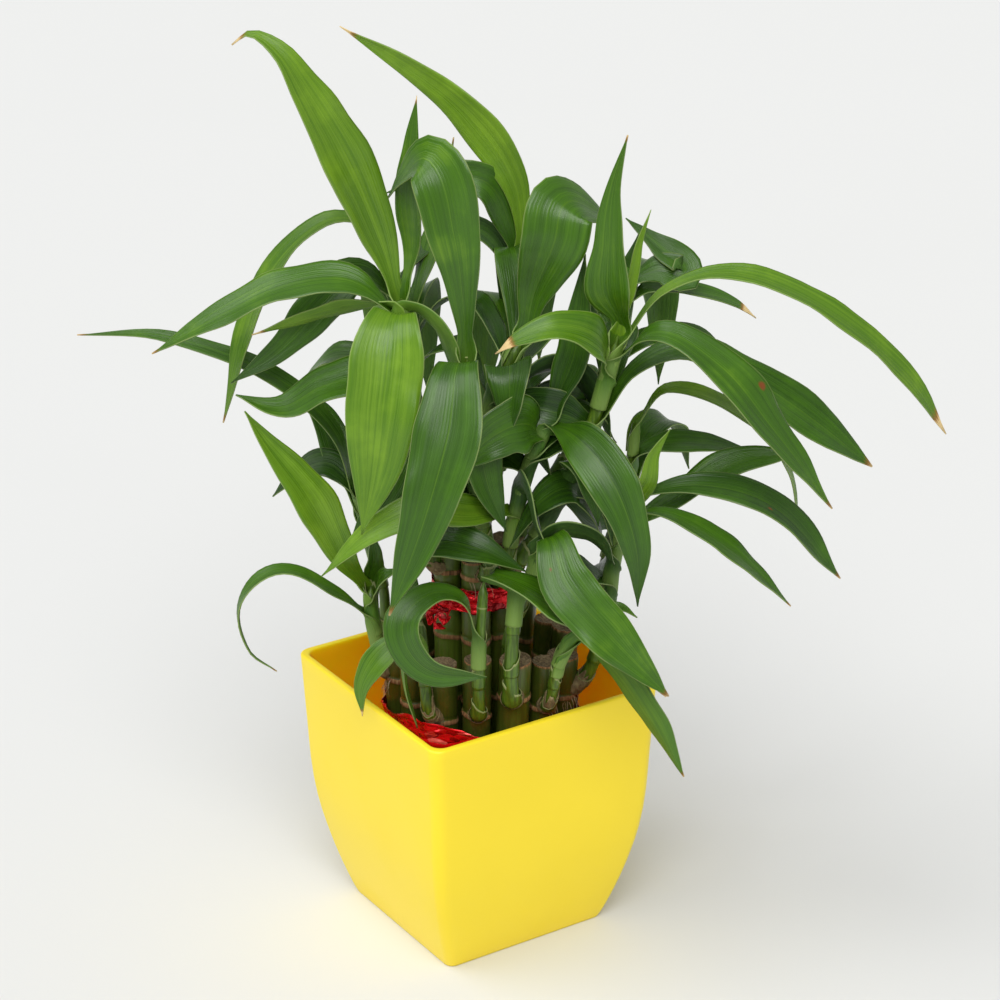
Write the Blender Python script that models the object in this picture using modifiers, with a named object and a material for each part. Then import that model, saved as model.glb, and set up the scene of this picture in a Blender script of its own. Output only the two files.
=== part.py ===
"""Lucky bamboo in a square pot: two tiers of cut canes, tied with foil tape, with side
shoots and lance-shaped leaves.

Units are metres, +Z is up, and the origin is the centre of the pot's foot on the surface.
The plant is laid out in its own frame, turned about Z from the pot: x to the right of the
plant's front, y to its back. Routes and heights in that frame are in millimetres.
"""
import bmesh
import bpy
from math import cos, pi, radians, sin
from mathutils import Matrix, Vector
from mathutils.geometry import interpolate_bezier

MM = 0.001
GAP = 0.3 * MM                      # clearance between pieces that touch
SHARP = radians(40)                 # edges sharper than this are shaded as edges

# Pot
POT_RIM_HALF = 50.0 * MM
POT_WALL = 2.8 * MM
POT_CORNER = 5.0 * MM               # corner radius at the rim
POT_CORNER_STEPS = 4
POT_SIDE = ((0.0, 34.8), (3.0, 36.1), (7.0, 37.5), (15.0, 40.0), (25.0, 42.7), (40.0, 45.9),
            (55.0, 47.7), (75.0, 48.7), (102.5, 50.0))   # height, half-width of the side

# Plant
PLANT_TURN = radians(-33.0)         # the plant's front, turned towards the pot's corner
CANE_SIDES = 10
NODE_SWELL = 0.25 * MM              # how far a node ring stands proud
NODE_HALF = 1.6 * MM                # half the height of a node ring
NODES_PER_CANE = 3
NODE_SPACING = 26.0 * MM
WELD = 0.01 * MM
SHOOT_BEVEL = 2                     # bevel resolution: 8 sides
CURVE_STEPS = 13                    # points per span while a route is smoothed

# Inner tier: one cane in the middle and six round it
INNER_ROUND = 6
INNER_RADIUS = 5.5 * MM
INNER_RING = 11.8 * MM
INNER_TOP = 154.0
INNER_NODE = 147.0
MIDDLE_TOP = 168.0
MIDDLE_NODE = 160.0

# Outer tier: a ring that leans outwards and a little to the right
OUTER_COUNT = 14
OUTER_START = radians(-3.6)         # angle of the first cane from the front
OUTER_RADII = (5.3 * MM, 6.1 * MM)  # thinner and thicker canes alternate
OUTER_RING_FOOT = 26.4 * MM
OUTER_RING_TOP = 31.5 * MM
OUTER_SHIFT = 2.6 * MM              # how far the ring's centre moves right at its top
OUTER_REF = 120.0 * MM              # height at which the top radius and shift hold
OUTER_TOPS = (122, 121, 116, 113, 118, 115, 120, 116, 121, 117, 114, 118, 115, 118)
OUTER_NODES = (100, 106, 98, 97, 102, 100, 104, 99, 105, 101, 99, 102, 98, 96)

# Foil tape round each tier: lower edge, upper edge
TAPE = 0.5 * MM
TAPE_CLEARANCE = 0.4 * MM           # from the canes' skin to the tape
TAPE_SIDES = 48
LOWER_TAPE = (66.0 * MM, 91.0 * MM)
UPPER_TAPE = (133.5 * MM, 143.0 * MM)

# Shoots: cane, radius at the foot and at the tip, and the route after it leaves the node
SHOOTS = {
    "left_top": ("inner_6", 2.6, 1.9, (
        (-16, -10, 152), (-18, -18, 175), (-20, -21, 200), (-24, -19, 230), (-26, -16, 256))),
    "front_top": ("inner_1", 2.5, 2.0, (
        (5, -18, 151), (3, -21, 170), (-2, -24, 200), (-3, -27, 238))),
    "middle_top": ("inner_7", 2.8, 2.2, (
        (1, -5, 168), (1, -10, 188), (6, -10, 215), (17, -6, 238))),
    "right_top": ("inner_2", 2.8, 2.2, (
        (16, -9, 152), (24, -9, 165), (32, -9, 180), (42, -12, 206), (51, -11, 240))),
    "back_top": ("inner_4", 2.5, 1.8, (
        (2, 18, 152), (8, 19, 175), (14, 21, 215), (17, 22, 262))),
    "back_right_top": ("inner_3", 2.5, 1.8, (
        (16, 10, 152), (25, 14, 168), (38, 19, 190), (51, 24, 222), (56, 24, 249))),
    "back_left_top": ("inner_5", 2.4, 1.8, (
        (-15, 9, 152), (-18, 9, 175), (-24, 10, 220), (-28, 12, 253))),
    "centre": ("inner_2", 2.3, 1.9, (
        (12, -14, 152), (13, -17, 165), (18, -18, 189), (26, -15, 209))),
    "left": ("outer_12", 2.4, 1.8, (
        (-35, -6, 106), (-37, -8, 118), (-39, -8, 130), (-39, -6, 139))),
    "back_left": ("outer_11", 2.2, 1.7, (
        (-34, 11, 104), (-35, 12, 129), (-40, 12, 150), (-44, 10, 172))),
    "front": ("outer_01", 2.3, 1.8, (
        (1, -39, 104), (1, -41, 126), (2, -40, 142), (3, -38, 156))),
    "front_right": ("outer_02", 2.9, 2.2, (
        (13, -38, 110), (13, -40, 130), (14, -38, 143), (15, -36, 152))),
    "right_low": ("outer_03", 2.3, 1.7, (
        (27, -30, 103), (29, -35, 116), (31, -36, 126), (38, -36, 136))),
    "right": ("outer_04", 2.6, 2.0, (
        (40, -10, 103), (44, -12, 112), (48, -13, 128), (50, -14, 150), (54, -14, 178))),
    "front_inner": ("outer_02", 2.3, 1.9, (
        (12, -22, 112), (12, -23, 125), (17, -27, 142), (21, -29, 156), (23, -31, 166))),
    "back_right": ("outer_06", 2.3, 1.8, (
        (35, 18, 104), (40, 16, 114), (49, 16, 140), (57, 14, 174), (58, 10, 198))),
    "front_left": ("outer_14", 2.3, 1.8, (
        (-17, -34, 101), (-19, -32, 115), (-20, -30, 129), (-23, -28, 144), (-24, -28, 158))),
}

# Leaves: shoot, height where the leaf leaves it, side of the shoot it grows from (degrees
# round from the front, to the right), width, twist once clear of the shoot and at the tip
# (degrees), and the points that the midrib passes
LEAF_THICKNESS = 0.8 * MM
LEAF_STATIONS = 9
LEAF_CHANNEL = 0.16                 # how far the edges stand above the midrib, per half-width
LEAF_WIDEST = 0.38                  # where along the leaf it is widest
LEAF_FOOT = 0.28                    # width at the foot, as a share of the full width
LEAF_CLASP = 5.0 * MM               # length that runs along the shoot
LEAF_FREE = 0.2                     # where along the leaf its first twist is reached
LEAVES = (
    ("left_top", 252, 225, 20, -20, 0, (
        (-33, -13, 276), (-45, -17, 308), (-60, -19, 337), (-67, -17, 346), (-76, -14, 351),
        (-83, -10, 346))),
    ("back_top", 256, 170, 15, 0, 0, (
        (14, 24, 287), (-2, 26, 310), (-23, 28, 327), (-48, 30, 342))),
    ("left_top", 254, 140, 10, 0, 40, (
        (-22, -9, 272), (-23, -7, 289), (-22, -5, 310), (-20, -3, 326))),
    ("front_top", 236, 185, 20, 0, 0, (
        (-4, -27, 257), (-7, -29, 283), (-15, -22, 308), (-26, -10, 298), (-31, -6, 290))),
    ("middle_top", 236, 170, 25, 0, 0, (
        (21, -3, 253), (28, -8, 274), (32, -3, 287), (43, 8, 280), (49, 12, 272))),
    ("right_top", 238, 160, 16, 0, 0, (
        (47, -15, 258), (47, -17, 275), (48, -16, 295), (53, -14, 315))),
    ("back_right_top", 244, 95, 13, 15, 0, (
        (67, 24, 253), (77, 24, 252), (68, 28, 260), (55, 32, 270))),
    ("back_right_top", 236, 95, 10, 20, 20, (
        (64, 26, 245), (83, 30, 242), (96, 30, 238), (104, 30, 232))),
    ("right_top", 234, 100, 14, 0, 35, (
        (67, -10, 257), (91, -12, 264), (121, -12, 253), (154, -9, 225), (171, -6, 200))),
    ("right_top", 228, 60, 17, 12, 12, (
        (66, -28, 248), (85, -34, 238), (103, -36, 217), (128, -32, 182))),
    ("right_top", 205, 95, 17, 30, 50, (
        (57, -10, 227), (77, -8, 234), (112, -2, 212), (146, 2, 184))),
    ("back_right", 194, 95, 10, 10, 0, (
        (71, 10, 212), (97, 10, 203), (116, 10, 179), (121, 10, 151))),
    ("back_right", 180, 95, 14, 10, 10, (
        (69, 14, 188), (84, 15, 188), (105, 17, 183))),
    ("right", 160, 100, 13, 35, 35, (
        (72, -6, 174), (95, 0, 186), (119, 3, 189))),
    ("right", 174, 80, 15, 30, 30, (
        (81, -17, 185), (107, -19, 178), (134, -16, 147))),
    ("right", 167, 60, 13, 0, 0, (
        (68, -24, 177), (88, -28, 167), (115, -25, 140))),
    ("centre", 204, 40, 18, 55, 55, (
        (39, -34, 207), (50, -44, 194), (57, -48, 173), (58, -46, 150))),
    ("right_top", 222, 320, 17, -50, -50, (
        (44, -24, 243), (30, -32, 251), (16, -34, 248), (7, -34, 242))),
    ("front_top", 222, 350, 24, 0, 0, (
        (-6, -42, 241), (-9, -58, 222), (-17, -66, 194), (-30, -70, 158))),
    ("left_top", 238, 345, 26, 0, 0, (
        (-28, -31, 255), (-31, -45, 235), (-35, -50, 203), (-40, -50, 180))),
    ("left_top", 245, 275, 16, -25, -25, (
        (-44, -14, 262), (-65, -15, 261), (-89, -16, 250), (-115, -15, 235))),
    ("back_left_top", 248, 255, 13, 0, -25, (
        (-39, 14, 273), (-55, 14, 274), (-77, 12, 251), (-93, 6, 200))),
    ("back_left_top", 242, 280, 16, -45, -45, (
        (-42, 8, 257), (-54, 4, 248), (-71, 2, 230), (-89, 2, 217))),
    ("back_left", 166, 265, 9, -35, -35, (
        (-52, 12, 194), (-74, 14, 215), (-114, 16, 230), (-146, 18, 230))),
    ("left_top", 215, 280, 17, -60, -60, (
        (-37, -18, 227), (-54, -16, 223), (-70, -14, 214), (-86, -12, 218))),
    ("left", 134, 262, 16, -60, -35, (
        (-48, -12, 153), (-59, -14, 178), (-76, -12, 201), (-83, -10, 211))),
    ("left", 125, 290, 9, -15, 0, (
        (-52, -16, 142), (-72, -20, 152), (-86, -22, 140), (-84, -22, 121), (-74, -20, 111))),
    ("centre", 170, 300, 14, -25, -25, (
        (-2, -34, 182), (-19, -44, 187), (-37, -46, 179), (-55, -44, 161))),
    ("left_top", 195, 330, 13, -45, -45, (
        (-25, -30, 203), (-34, -36, 187), (-45, -36, 171))),
    ("front", 132, 300, 15, -30, -30, (
        (-5, -46, 153), (-16, -50, 157), (-26, -58, 148), (-18, -62, 133), (4, -62, 130))),
    ("front_inner", 160, 30, 20, 0, 0, (
        (27, -42, 175), (32, -54, 163), (49, -60, 144), (69, -60, 121))),
    ("front_right", 148, 330, 18, 20, 20, (
        (5, -40, 160), (20, -46, 156), (45, -50, 139), (69, -50, 116))),
    ("right_low", 130, 45, 13, 0, 0, (
        (47, -40, 127), (60, -46, 112), (76, -50, 83))),
    ("centre", 200, 300, 21, -30, -30, (
        (16, -28, 213), (5, -34, 210), (-9, -37, 197))),
    ("front_left", 150, 60, 17, 30, 30, (
        (-14, -34, 169), (0, -38, 169), (18, -38, 160))),
    ("centre", 206, 100, 13, 45, 45, (
        (30, -12, 218), (36, -8, 234), (39, 0, 267))),
)

# Colours: base colour, roughness, metallic
FINISHES = {
    "pot_plastic": ((0.95, 0.72, 0.03, 1), 0.35, 0.0),
    "cane_skin": ((0.10, 0.20, 0.03, 1), 0.45, 0.0),
    "leaf_blade": ((0.10, 0.30, 0.04, 1), 0.40, 0.0),
    "red_foil": ((0.60, 0.01, 0.02, 1), 0.20, 0.8),
}


def clear_scene():
    for old in list(bpy.data.objects):
        bpy.data.objects.remove(old, do_unlink=True)


def new_collection(name):
    made = bpy.data.collections.new(name)
    bpy.context.scene.collection.children.link(made)
    return made


def material(name):
    """One Principled finish, made the first time it is asked for."""
    if name in bpy.data.materials:
        return bpy.data.materials[name]
    colour, roughness, metallic = FINISHES[name]
    made = bpy.data.materials.new(name)
    made.use_nodes = True
    shader = made.node_tree.nodes["Principled BSDF"]
    shader.inputs["Base Color"].default_value = colour
    shader.inputs["Roughness"].default_value = roughness
    shader.inputs["Metallic"].default_value = metallic
    return made


def mesh_object(name, verts, faces, finish, home):
    mesh = bpy.data.meshes.new(name)
    mesh.from_pydata([tuple(v) for v in verts], [], faces)
    made = bpy.data.objects.new(name, mesh)
    home.objects.link(made)
    mesh.materials.append(material(finish))
    mesh.shade_smooth()
    mesh.set_sharp_from_angle(angle=SHARP)
    return made


def plant_point(x, y, z):
    """A point of the plant's own frame, in metres of the part's frame."""
    return Matrix.Rotation(PLANT_TURN, 3, "Z") @ Vector((x, y, z))


def plant_mm(point):
    return plant_point(point[0] * MM, point[1] * MM, point[2] * MM)


def from_front(angle):
    """Unit vector that points away from the plant's axis, measured round from its front."""
    return plant_point(sin(angle), -cos(angle), 0.0)


def smooth_route(points, count):
    """Evenly spaced points on one smooth curve through the given points."""
    last = len(points) - 1
    slopes = [(points[min(i + 1, last)] - points[max(i - 1, 0)]).normalized()
              for i in range(last + 1)]
    dense = [points[0]]
    for i in range(last):
        reach = (points[i + 1] - points[i]).length / 3
        handle_a = points[i] + slopes[i] * reach
        handle_b = points[i + 1] - slopes[i + 1] * reach
        dense += interpolate_bezier(points[i], handle_a, handle_b, points[i + 1],
                                    CURVE_STEPS)[1:]
    lengths = [0.0]
    for a, b in zip(dense, dense[1:]):
        lengths.append(lengths[-1] + (b - a).length)
    even = []
    for step in range(count):
        want = lengths[-1] * step / (count - 1)
        i = next((k for k in range(1, len(lengths)) if lengths[k] >= want), len(lengths) - 1)
        share = (want - lengths[i - 1]) / (lengths[i] - lengths[i - 1])
        even.append(dense[i - 1].lerp(dense[i], min(share, 1.0)))
    return even


# Pot

def rounded_square(half, radius):
    """Corner points of a square with rounded corners, counter-clockwise."""
    outline = []
    for corner in range(4):
        for step in range(POT_CORNER_STEPS + 1):
            angle = (corner + step / POT_CORNER_STEPS) * pi / 2
            centre = Matrix.Rotation(corner * pi / 2, 2) @ Vector((half - radius, half - radius))
            outline.append(centre + radius * Vector((cos(angle), sin(angle))))
    return outline


def make_pot(home):
    verts, faces = [], []
    for height, half in POT_SIDE:
        radius = POT_CORNER * half * MM / POT_RIM_HALF
        verts += [(p.x, p.y, height * MM) for p in rounded_square(half * MM, radius)]
    around = len(verts) // len(POT_SIDE)
    faces.append(tuple(reversed(range(around))))
    for row in range(len(POT_SIDE) - 1):
        for i in range(around):
            a, b = row * around + i, row * around + (i + 1) % around
            faces.append((a, b, b + around, a + around))
    pot = mesh_object("pot", verts, faces, "pot_plastic", home)
    wall = pot.modifiers.new("wall", "SOLIDIFY")
    wall.thickness = POT_WALL
    wall.offset = -1.0
    wall.use_even_offset = True
    return pot


# Canes

def turned_cane(name, radius, length, nodes, home):
    """A cane along +Z from its foot, with a swollen ring at each node."""
    profile = [(0.0, length), (radius, length)]
    for node in sorted(nodes, reverse=True):
        profile += [(radius, node + NODE_HALF), (radius + NODE_SWELL, node),
                    (radius, node - NODE_HALF)]
    profile += [(radius, 0.0), (0.0, 0.0)]
    mesh = bpy.data.meshes.new(name)
    mesh.from_pydata([(r, 0.0, z) for r, z in profile],
                     [(i, i + 1) for i in range(len(profile) - 1)], [])
    mesh.materials.append(material("cane_skin"))
    cane = bpy.data.objects.new(name, mesh)
    home.objects.link(cane)
    turn = cane.modifiers.new("turn", "SCREW")
    turn.steps = CANE_SIDES
    turn.render_steps = CANE_SIDES
    turn.use_merge_vertices = True
    turn.merge_threshold = WELD
    return cane


def place_cane(cane, foot, top):
    """Stands a cane on its foot and leans it towards its top."""
    cane.location = foot
    cane.rotation_mode = "QUATERNION"
    cane.rotation_quaternion = (top - foot).to_track_quat("Z", "Y")


def cane_lines():
    """Axis of every cane: name, radius, foot point, top point, node height, all in metres."""
    floor = POT_WALL + GAP
    lines = []
    for i in range(INNER_ROUND + 1):
        middle = i == INNER_ROUND
        ring = 0.0 if middle else INNER_RING
        spot = from_front(2 * pi * i / INNER_ROUND) * ring
        top = (MIDDLE_TOP if middle else INNER_TOP) * MM
        node = (MIDDLE_NODE if middle else INNER_NODE) * MM
        lines.append((f"inner_{i + 1}", INNER_RADIUS, spot + Vector((0, 0, floor)),
                      spot + Vector((0, 0, top)), node))
    for i in range(OUTER_COUNT):
        angle = OUTER_START + i * 2 * pi / OUTER_COUNT
        foot = from_front(angle) * OUTER_RING_FOOT + Vector((0, 0, floor + GAP))
        high = (from_front(angle) * OUTER_RING_TOP + plant_point(OUTER_SHIFT, 0, 0)
                + Vector((0, 0, OUTER_REF)))
        share = (OUTER_TOPS[i] * MM - foot.z) / (high.z - foot.z)
        lines.append((f"outer_{i + 1:02d}", OUTER_RADII[i % 2], foot,
                      foot.lerp(high, share), OUTER_NODES[i] * MM))
    return lines


def point_at_height(points, height):
    for a, b in zip(points, points[1:]):
        if a.z <= height <= b.z:
            return a.lerp(b, (height - a.z) / (b.z - a.z)), (b - a).normalized()
    return points[-1], (points[-1] - points[-2]).normalized()


def make_shoot(name, route, foot_radius, tip_radius, home):
    """A tapering round stem along a route, as a closed mesh."""
    points = smooth_route(route, 2 * len(route))
    curve = bpy.data.curves.new(name, "CURVE")
    curve.dimensions = "3D"
    curve.bevel_depth = 1.0
    curve.bevel_resolution = SHOOT_BEVEL
    curve.use_fill_caps = True
    spline = curve.splines.new("POLY")
    spline.points.add(len(points) - 1)
    for i, point in enumerate(points):
        share = i / (len(points) - 1)
        spline.points[i].co = (*point, 1.0)
        spline.points[i].radius = foot_radius + (tip_radius - foot_radius) * share
    guide = bpy.data.objects.new(name + "_guide", curve)
    home.objects.link(guide)
    bpy.context.view_layer.update()
    seen = guide.evaluated_get(bpy.context.evaluated_depsgraph_get())
    mesh = bpy.data.meshes.new_from_object(seen)
    bpy.data.objects.remove(guide, do_unlink=True)
    weld = bmesh.new()
    weld.from_mesh(mesh)
    bmesh.ops.remove_doubles(weld, verts=weld.verts, dist=WELD)
    bmesh.ops.recalc_face_normals(weld, faces=weld.faces)
    weld.to_mesh(mesh)
    weld.free()
    mesh.materials.clear()
    mesh.materials.append(material("cane_skin"))
    shoot = bpy.data.objects.new(name, mesh)
    home.objects.link(shoot)
    shoot.hide_render = True
    shoot.display_type = "WIRE"
    return shoot


def make_canes(home, joined):
    """Canes with the shoots that grew from them, and each shoot's line for its leaves."""
    shoot_lines = {}
    for name, radius, foot, top, node in cane_lines():
        length = (top - foot).length
        nodes = [node - foot.z - i * NODE_SPACING for i in range(NODES_PER_CANE)]
        cane = turned_cane("cane_" + name, radius, length, nodes, home)
        place_cane(cane, foot, top)
        start = foot.lerp(top, (node - foot.z) / (top.z - foot.z))
        for shoot, (owner, foot_mm, tip_mm, route) in SHOOTS.items():
            if owner != name:
                continue
            path = [start] + [plant_mm(p) for p in route]
            stem = make_shoot("shoot_" + shoot, path, foot_mm * MM, tip_mm * MM, joined)
            join = cane.modifiers.new("shoot", "BOOLEAN")
            join.operation = "UNION"
            join.object = stem
            line = smooth_route(path, 2 * len(path))
            radii = [(foot_mm + (tip_mm - foot_mm) * i / (len(line) - 1)) * MM
                     for i in range(len(line))]
            shoot_lines[shoot] = (line, radii)
    return shoot_lines


def make_tape(name, low, high, centre, ring, cane_radius, home):
    """A band of foil round a tier of canes, following the way the tier leans."""
    verts, faces = [], []
    for height in (low, high):
        middle = centre(height)
        reach = ring(height) + cane_radius + TAPE_CLEARANCE
        for i in range(TAPE_SIDES):
            angle = 2 * pi * i / TAPE_SIDES
            verts.append(middle + reach * Vector((cos(angle), sin(angle), 0)))
    for i in range(TAPE_SIDES):
        j = (i + 1) % TAPE_SIDES
        faces.append((i, j, j + TAPE_SIDES, i + TAPE_SIDES))
    tape = mesh_object(name, verts, faces, "red_foil", home)
    wall = tape.modifiers.new("thickness", "SOLIDIFY")
    wall.thickness = TAPE
    wall.offset = 1.0
    return tape


def make_tapes(home):
    def share(height):
        return height / OUTER_REF

    def outer_ring(height):
        return OUTER_RING_FOOT + (OUTER_RING_TOP - OUTER_RING_FOOT) * share(height)

    def outer_centre(height):
        return plant_point(OUTER_SHIFT * share(height), 0, height)

    make_tape("lower_ribbon", *LOWER_TAPE, outer_centre, outer_ring, max(OUTER_RADII), home)
    make_tape("upper_ribbon", *UPPER_TAPE, lambda height: Vector((0, 0, height)),
              lambda height: INNER_RING, INNER_RADIUS, home)


# Leaves

def blade_width(share):
    """Width of a leaf along its length, as a share of its greatest width."""
    if share < LEAF_WIDEST:
        rise = share / LEAF_WIDEST
        return LEAF_FOOT + (1 - LEAF_FOOT) * rise * rise * (3 - 2 * rise)
    fall = (share - LEAF_WIDEST) / (1 - LEAF_WIDEST)
    return max((1 - fall ** 1.7) ** 1.1, 0.05)


def blade_turn(share, twist, twist_tip):
    """Twist of the blade about its midrib: none at the foot, which lies on the shoot."""
    if share < LEAF_FREE:
        return radians(twist) * share / LEAF_FREE
    return radians(twist + (twist_tip - twist) * (share - LEAF_FREE) / (1 - LEAF_FREE))


def make_leaf(name, shoot_lines, shoot, height, side, width, twist, twist_tip, via, home):
    line, radii = shoot_lines[shoot]
    stem, along = point_at_height(line, height * MM)
    nearest = min(range(len(line)), key=lambda i: abs(line[i].z - height * MM))
    out = from_front(radians(side))
    out = (out - out.dot(along) * along).normalized()
    seat = stem + out * (radii[nearest] + GAP + LEAF_THICKNESS)
    points = smooth_route([seat, seat + along * LEAF_CLASP] + [plant_mm(p) for p in via],
                          LEAF_STATIONS)
    upper = -out
    verts, faces = [], []
    for i, point in enumerate(points):
        share = i / (LEAF_STATIONS - 1)
        ahead = points[min(i + 1, LEAF_STATIONS - 1)] - points[max(i - 1, 0)]
        ahead.normalize()
        upper = (upper - upper.dot(ahead) * ahead).normalized()
        normal = Matrix.Rotation(blade_turn(share, twist, twist_tip), 3, ahead) @ upper
        across = ahead.cross(normal)
        half = width * MM * blade_width(share) / 2
        rise = normal * half * LEAF_CHANNEL
        verts += [point - across * half + rise, point, point + across * half + rise]
    for i in range(LEAF_STATIONS - 1):
        a = 3 * i
        faces += [(a, a + 1, a + 4, a + 3), (a + 1, a + 2, a + 5, a + 4)]
    leaf = mesh_object(name, verts, faces, "leaf_blade", home)
    blade = leaf.modifiers.new("thickness", "SOLIDIFY")
    blade.thickness = LEAF_THICKNESS
    blade.offset = 0.0
    return leaf


def main():
    clear_scene()
    plant = new_collection("lucky_bamboo")
    joined = new_collection("joined_shoots")
    make_pot(plant)
    shoot_lines = make_canes(plant, joined)
    make_tapes(plant)
    for number, leaf in enumerate(LEAVES, start=1):
        make_leaf(f"leaf_{number:02d}", shoot_lines, *leaf, plant)


main()
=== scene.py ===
"""Lucky bamboo in a square pot: the finished surfaces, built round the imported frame.

Two tiers of cut stalks stand in a yellow pot, each tier tied with red foil. Shoots grow
from the stalks' nodes and carry long leaves whose feet sheathe the shoots.
"""
import random
from math import cos, exp, pi, radians, sin, sqrt, tan

import bmesh
import bpy
import numpy as np
from mathutils import Matrix, Vector, noise
from mathutils.geometry import interpolate_bezier


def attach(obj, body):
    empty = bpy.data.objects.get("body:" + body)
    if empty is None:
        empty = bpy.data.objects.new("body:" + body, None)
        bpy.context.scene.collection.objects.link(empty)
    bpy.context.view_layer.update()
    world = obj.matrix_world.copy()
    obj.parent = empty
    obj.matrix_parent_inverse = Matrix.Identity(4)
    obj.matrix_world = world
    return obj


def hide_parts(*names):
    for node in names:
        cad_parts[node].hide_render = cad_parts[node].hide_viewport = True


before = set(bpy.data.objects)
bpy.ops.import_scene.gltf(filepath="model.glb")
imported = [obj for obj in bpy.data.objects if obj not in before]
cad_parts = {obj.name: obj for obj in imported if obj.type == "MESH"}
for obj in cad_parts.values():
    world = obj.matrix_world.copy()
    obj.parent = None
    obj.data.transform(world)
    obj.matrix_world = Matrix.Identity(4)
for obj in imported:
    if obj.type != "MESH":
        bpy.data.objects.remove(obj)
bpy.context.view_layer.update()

bl_info = {
    "name": "Lucky Bamboo",
    "version": (1, 0, 0),
    "blender": (4, 5, 0),
    "location": "3D View > Sidebar > Bamboo",
    "description": "Potted lucky bamboo with sheathed leaves, ringed shoots and foil ties",
    "category": "Object",
}

MM = 0.001
GAP = 0.3 * MM                      # clearance between pieces of the frame that touch
PLANT_TURN = radians(-33.0)         # the plant's front, turned towards the pot's corner

# Height and half-width of the pot's side, in millimetres, and the thickness of its floor
POT_SIDE = ((0.0, 34.8), (3.0, 36.1), (7.0, 37.5), (15.0, 40.0), (25.0, 42.7), (40.0, 45.9),
            (55.0, 47.7), (75.0, 48.7), (102.5, 50.0))
POT_FLOOR = 2.8 * MM

# Inner tier of stalks: one in the middle and six round it; heights in millimetres
INNER_ROUND = 6
INNER_RING = 11.8 * MM
INNER_TOP, MIDDLE_TOP = 154.0, 168.0
INNER_NODE, MIDDLE_NODE = 147.0, 160.0

# Outer tier: a ring that leans outwards and a little to the right
OUTER_COUNT = 14
OUTER_START = radians(-3.6)         # angle of the first stalk from the front
OUTER_RING_FOOT = 26.4 * MM
OUTER_RING_TOP = 31.5 * MM
OUTER_SHIFT = 2.6 * MM              # how far the ring's centre moves right at its top
OUTER_REF = 120.0 * MM              # height at which the top radius and shift hold
OUTER_TOPS = (122, 121, 116, 113, 118, 115, 120, 116, 121, 117, 114, 118, 115, 118)
OUTER_NODES = (100, 106, 98, 97, 102, 100, 104, 99, 105, 101, 99, 102, 98, 96)
NODE_SPACING = 26.0 * MM
NODES_PER_STALK = 4

# Shoots: stalk, radius at the foot and at the tip, and the route after it leaves the node
SHOOTS = {
    "left_top": ("inner_6", 2.6, 1.9, (
        (-16, -10, 152), (-18, -18, 175), (-20, -21, 200), (-24, -19, 230), (-26, -16, 256))),
    "front_top": ("inner_1", 2.5, 2.0, (
        (5, -18, 151), (3, -21, 170), (-2, -24, 200), (-3, -27, 238))),
    "middle_top": ("inner_7", 2.8, 2.2, (
        (1, -5, 168), (1, -10, 188), (6, -10, 215), (17, -6, 238))),
    "right_top": ("inner_2", 2.8, 2.2, (
        (16, -9, 152), (24, -9, 165), (32, -9, 180), (42, -12, 206), (51, -11, 240))),
    "back_top": ("inner_4", 2.5, 1.8, (
        (2, 18, 152), (8, 19, 175), (14, 21, 215), (17, 22, 262))),
    "back_right_top": ("inner_3", 2.5, 1.8, (
        (16, 10, 152), (25, 14, 168), (38, 19, 190), (51, 24, 222), (56, 24, 249))),
    "back_left_top": ("inner_5", 2.4, 1.8, (
        (-15, 9, 152), (-18, 9, 175), (-24, 10, 220), (-28, 12, 253))),
    "centre": ("inner_2", 2.3, 1.9, (
        (12, -14, 152), (13, -17, 165), (18, -18, 189), (26, -15, 209))),
    "left": ("outer_12", 2.4, 1.8, (
        (-35, -6, 106), (-37, -8, 118), (-39, -8, 130), (-39, -6, 139))),
    "back_left": ("outer_11", 2.2, 1.7, (
        (-34, 11, 104), (-35, 12, 129), (-40, 12, 150), (-44, 10, 172))),
    "front": ("outer_01", 2.3, 1.8, (
        (1, -39, 104), (1, -41, 126), (2, -40, 142), (3, -38, 156))),
    "front_right": ("outer_02", 2.9, 2.2, (
        (13, -38, 110), (13, -40, 130), (14, -38, 143), (15, -36, 152))),
    "right_low": ("outer_03", 2.3, 1.7, (
        (27, -30, 103), (29, -35, 116), (31, -36, 126), (38, -36, 136))),
    "right": ("outer_04", 2.6, 2.0, (
        (40, -10, 103), (44, -12, 112), (48, -13, 128), (50, -14, 150), (54, -14, 178))),
    "front_inner": ("outer_02", 2.3, 1.9, (
        (12, -22, 112), (12, -23, 125), (17, -27, 142), (21, -29, 156), (23, -31, 166))),
    "back_right": ("outer_06", 2.3, 1.8, (
        (35, 18, 104), (40, 16, 114), (49, 16, 140), (57, 14, 174), (58, 10, 198))),
    "front_left": ("outer_14", 2.3, 1.8, (
        (-17, -34, 101), (-19, -32, 115), (-20, -30, 129), (-23, -28, 144), (-24, -28, 158))),
}

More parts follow.
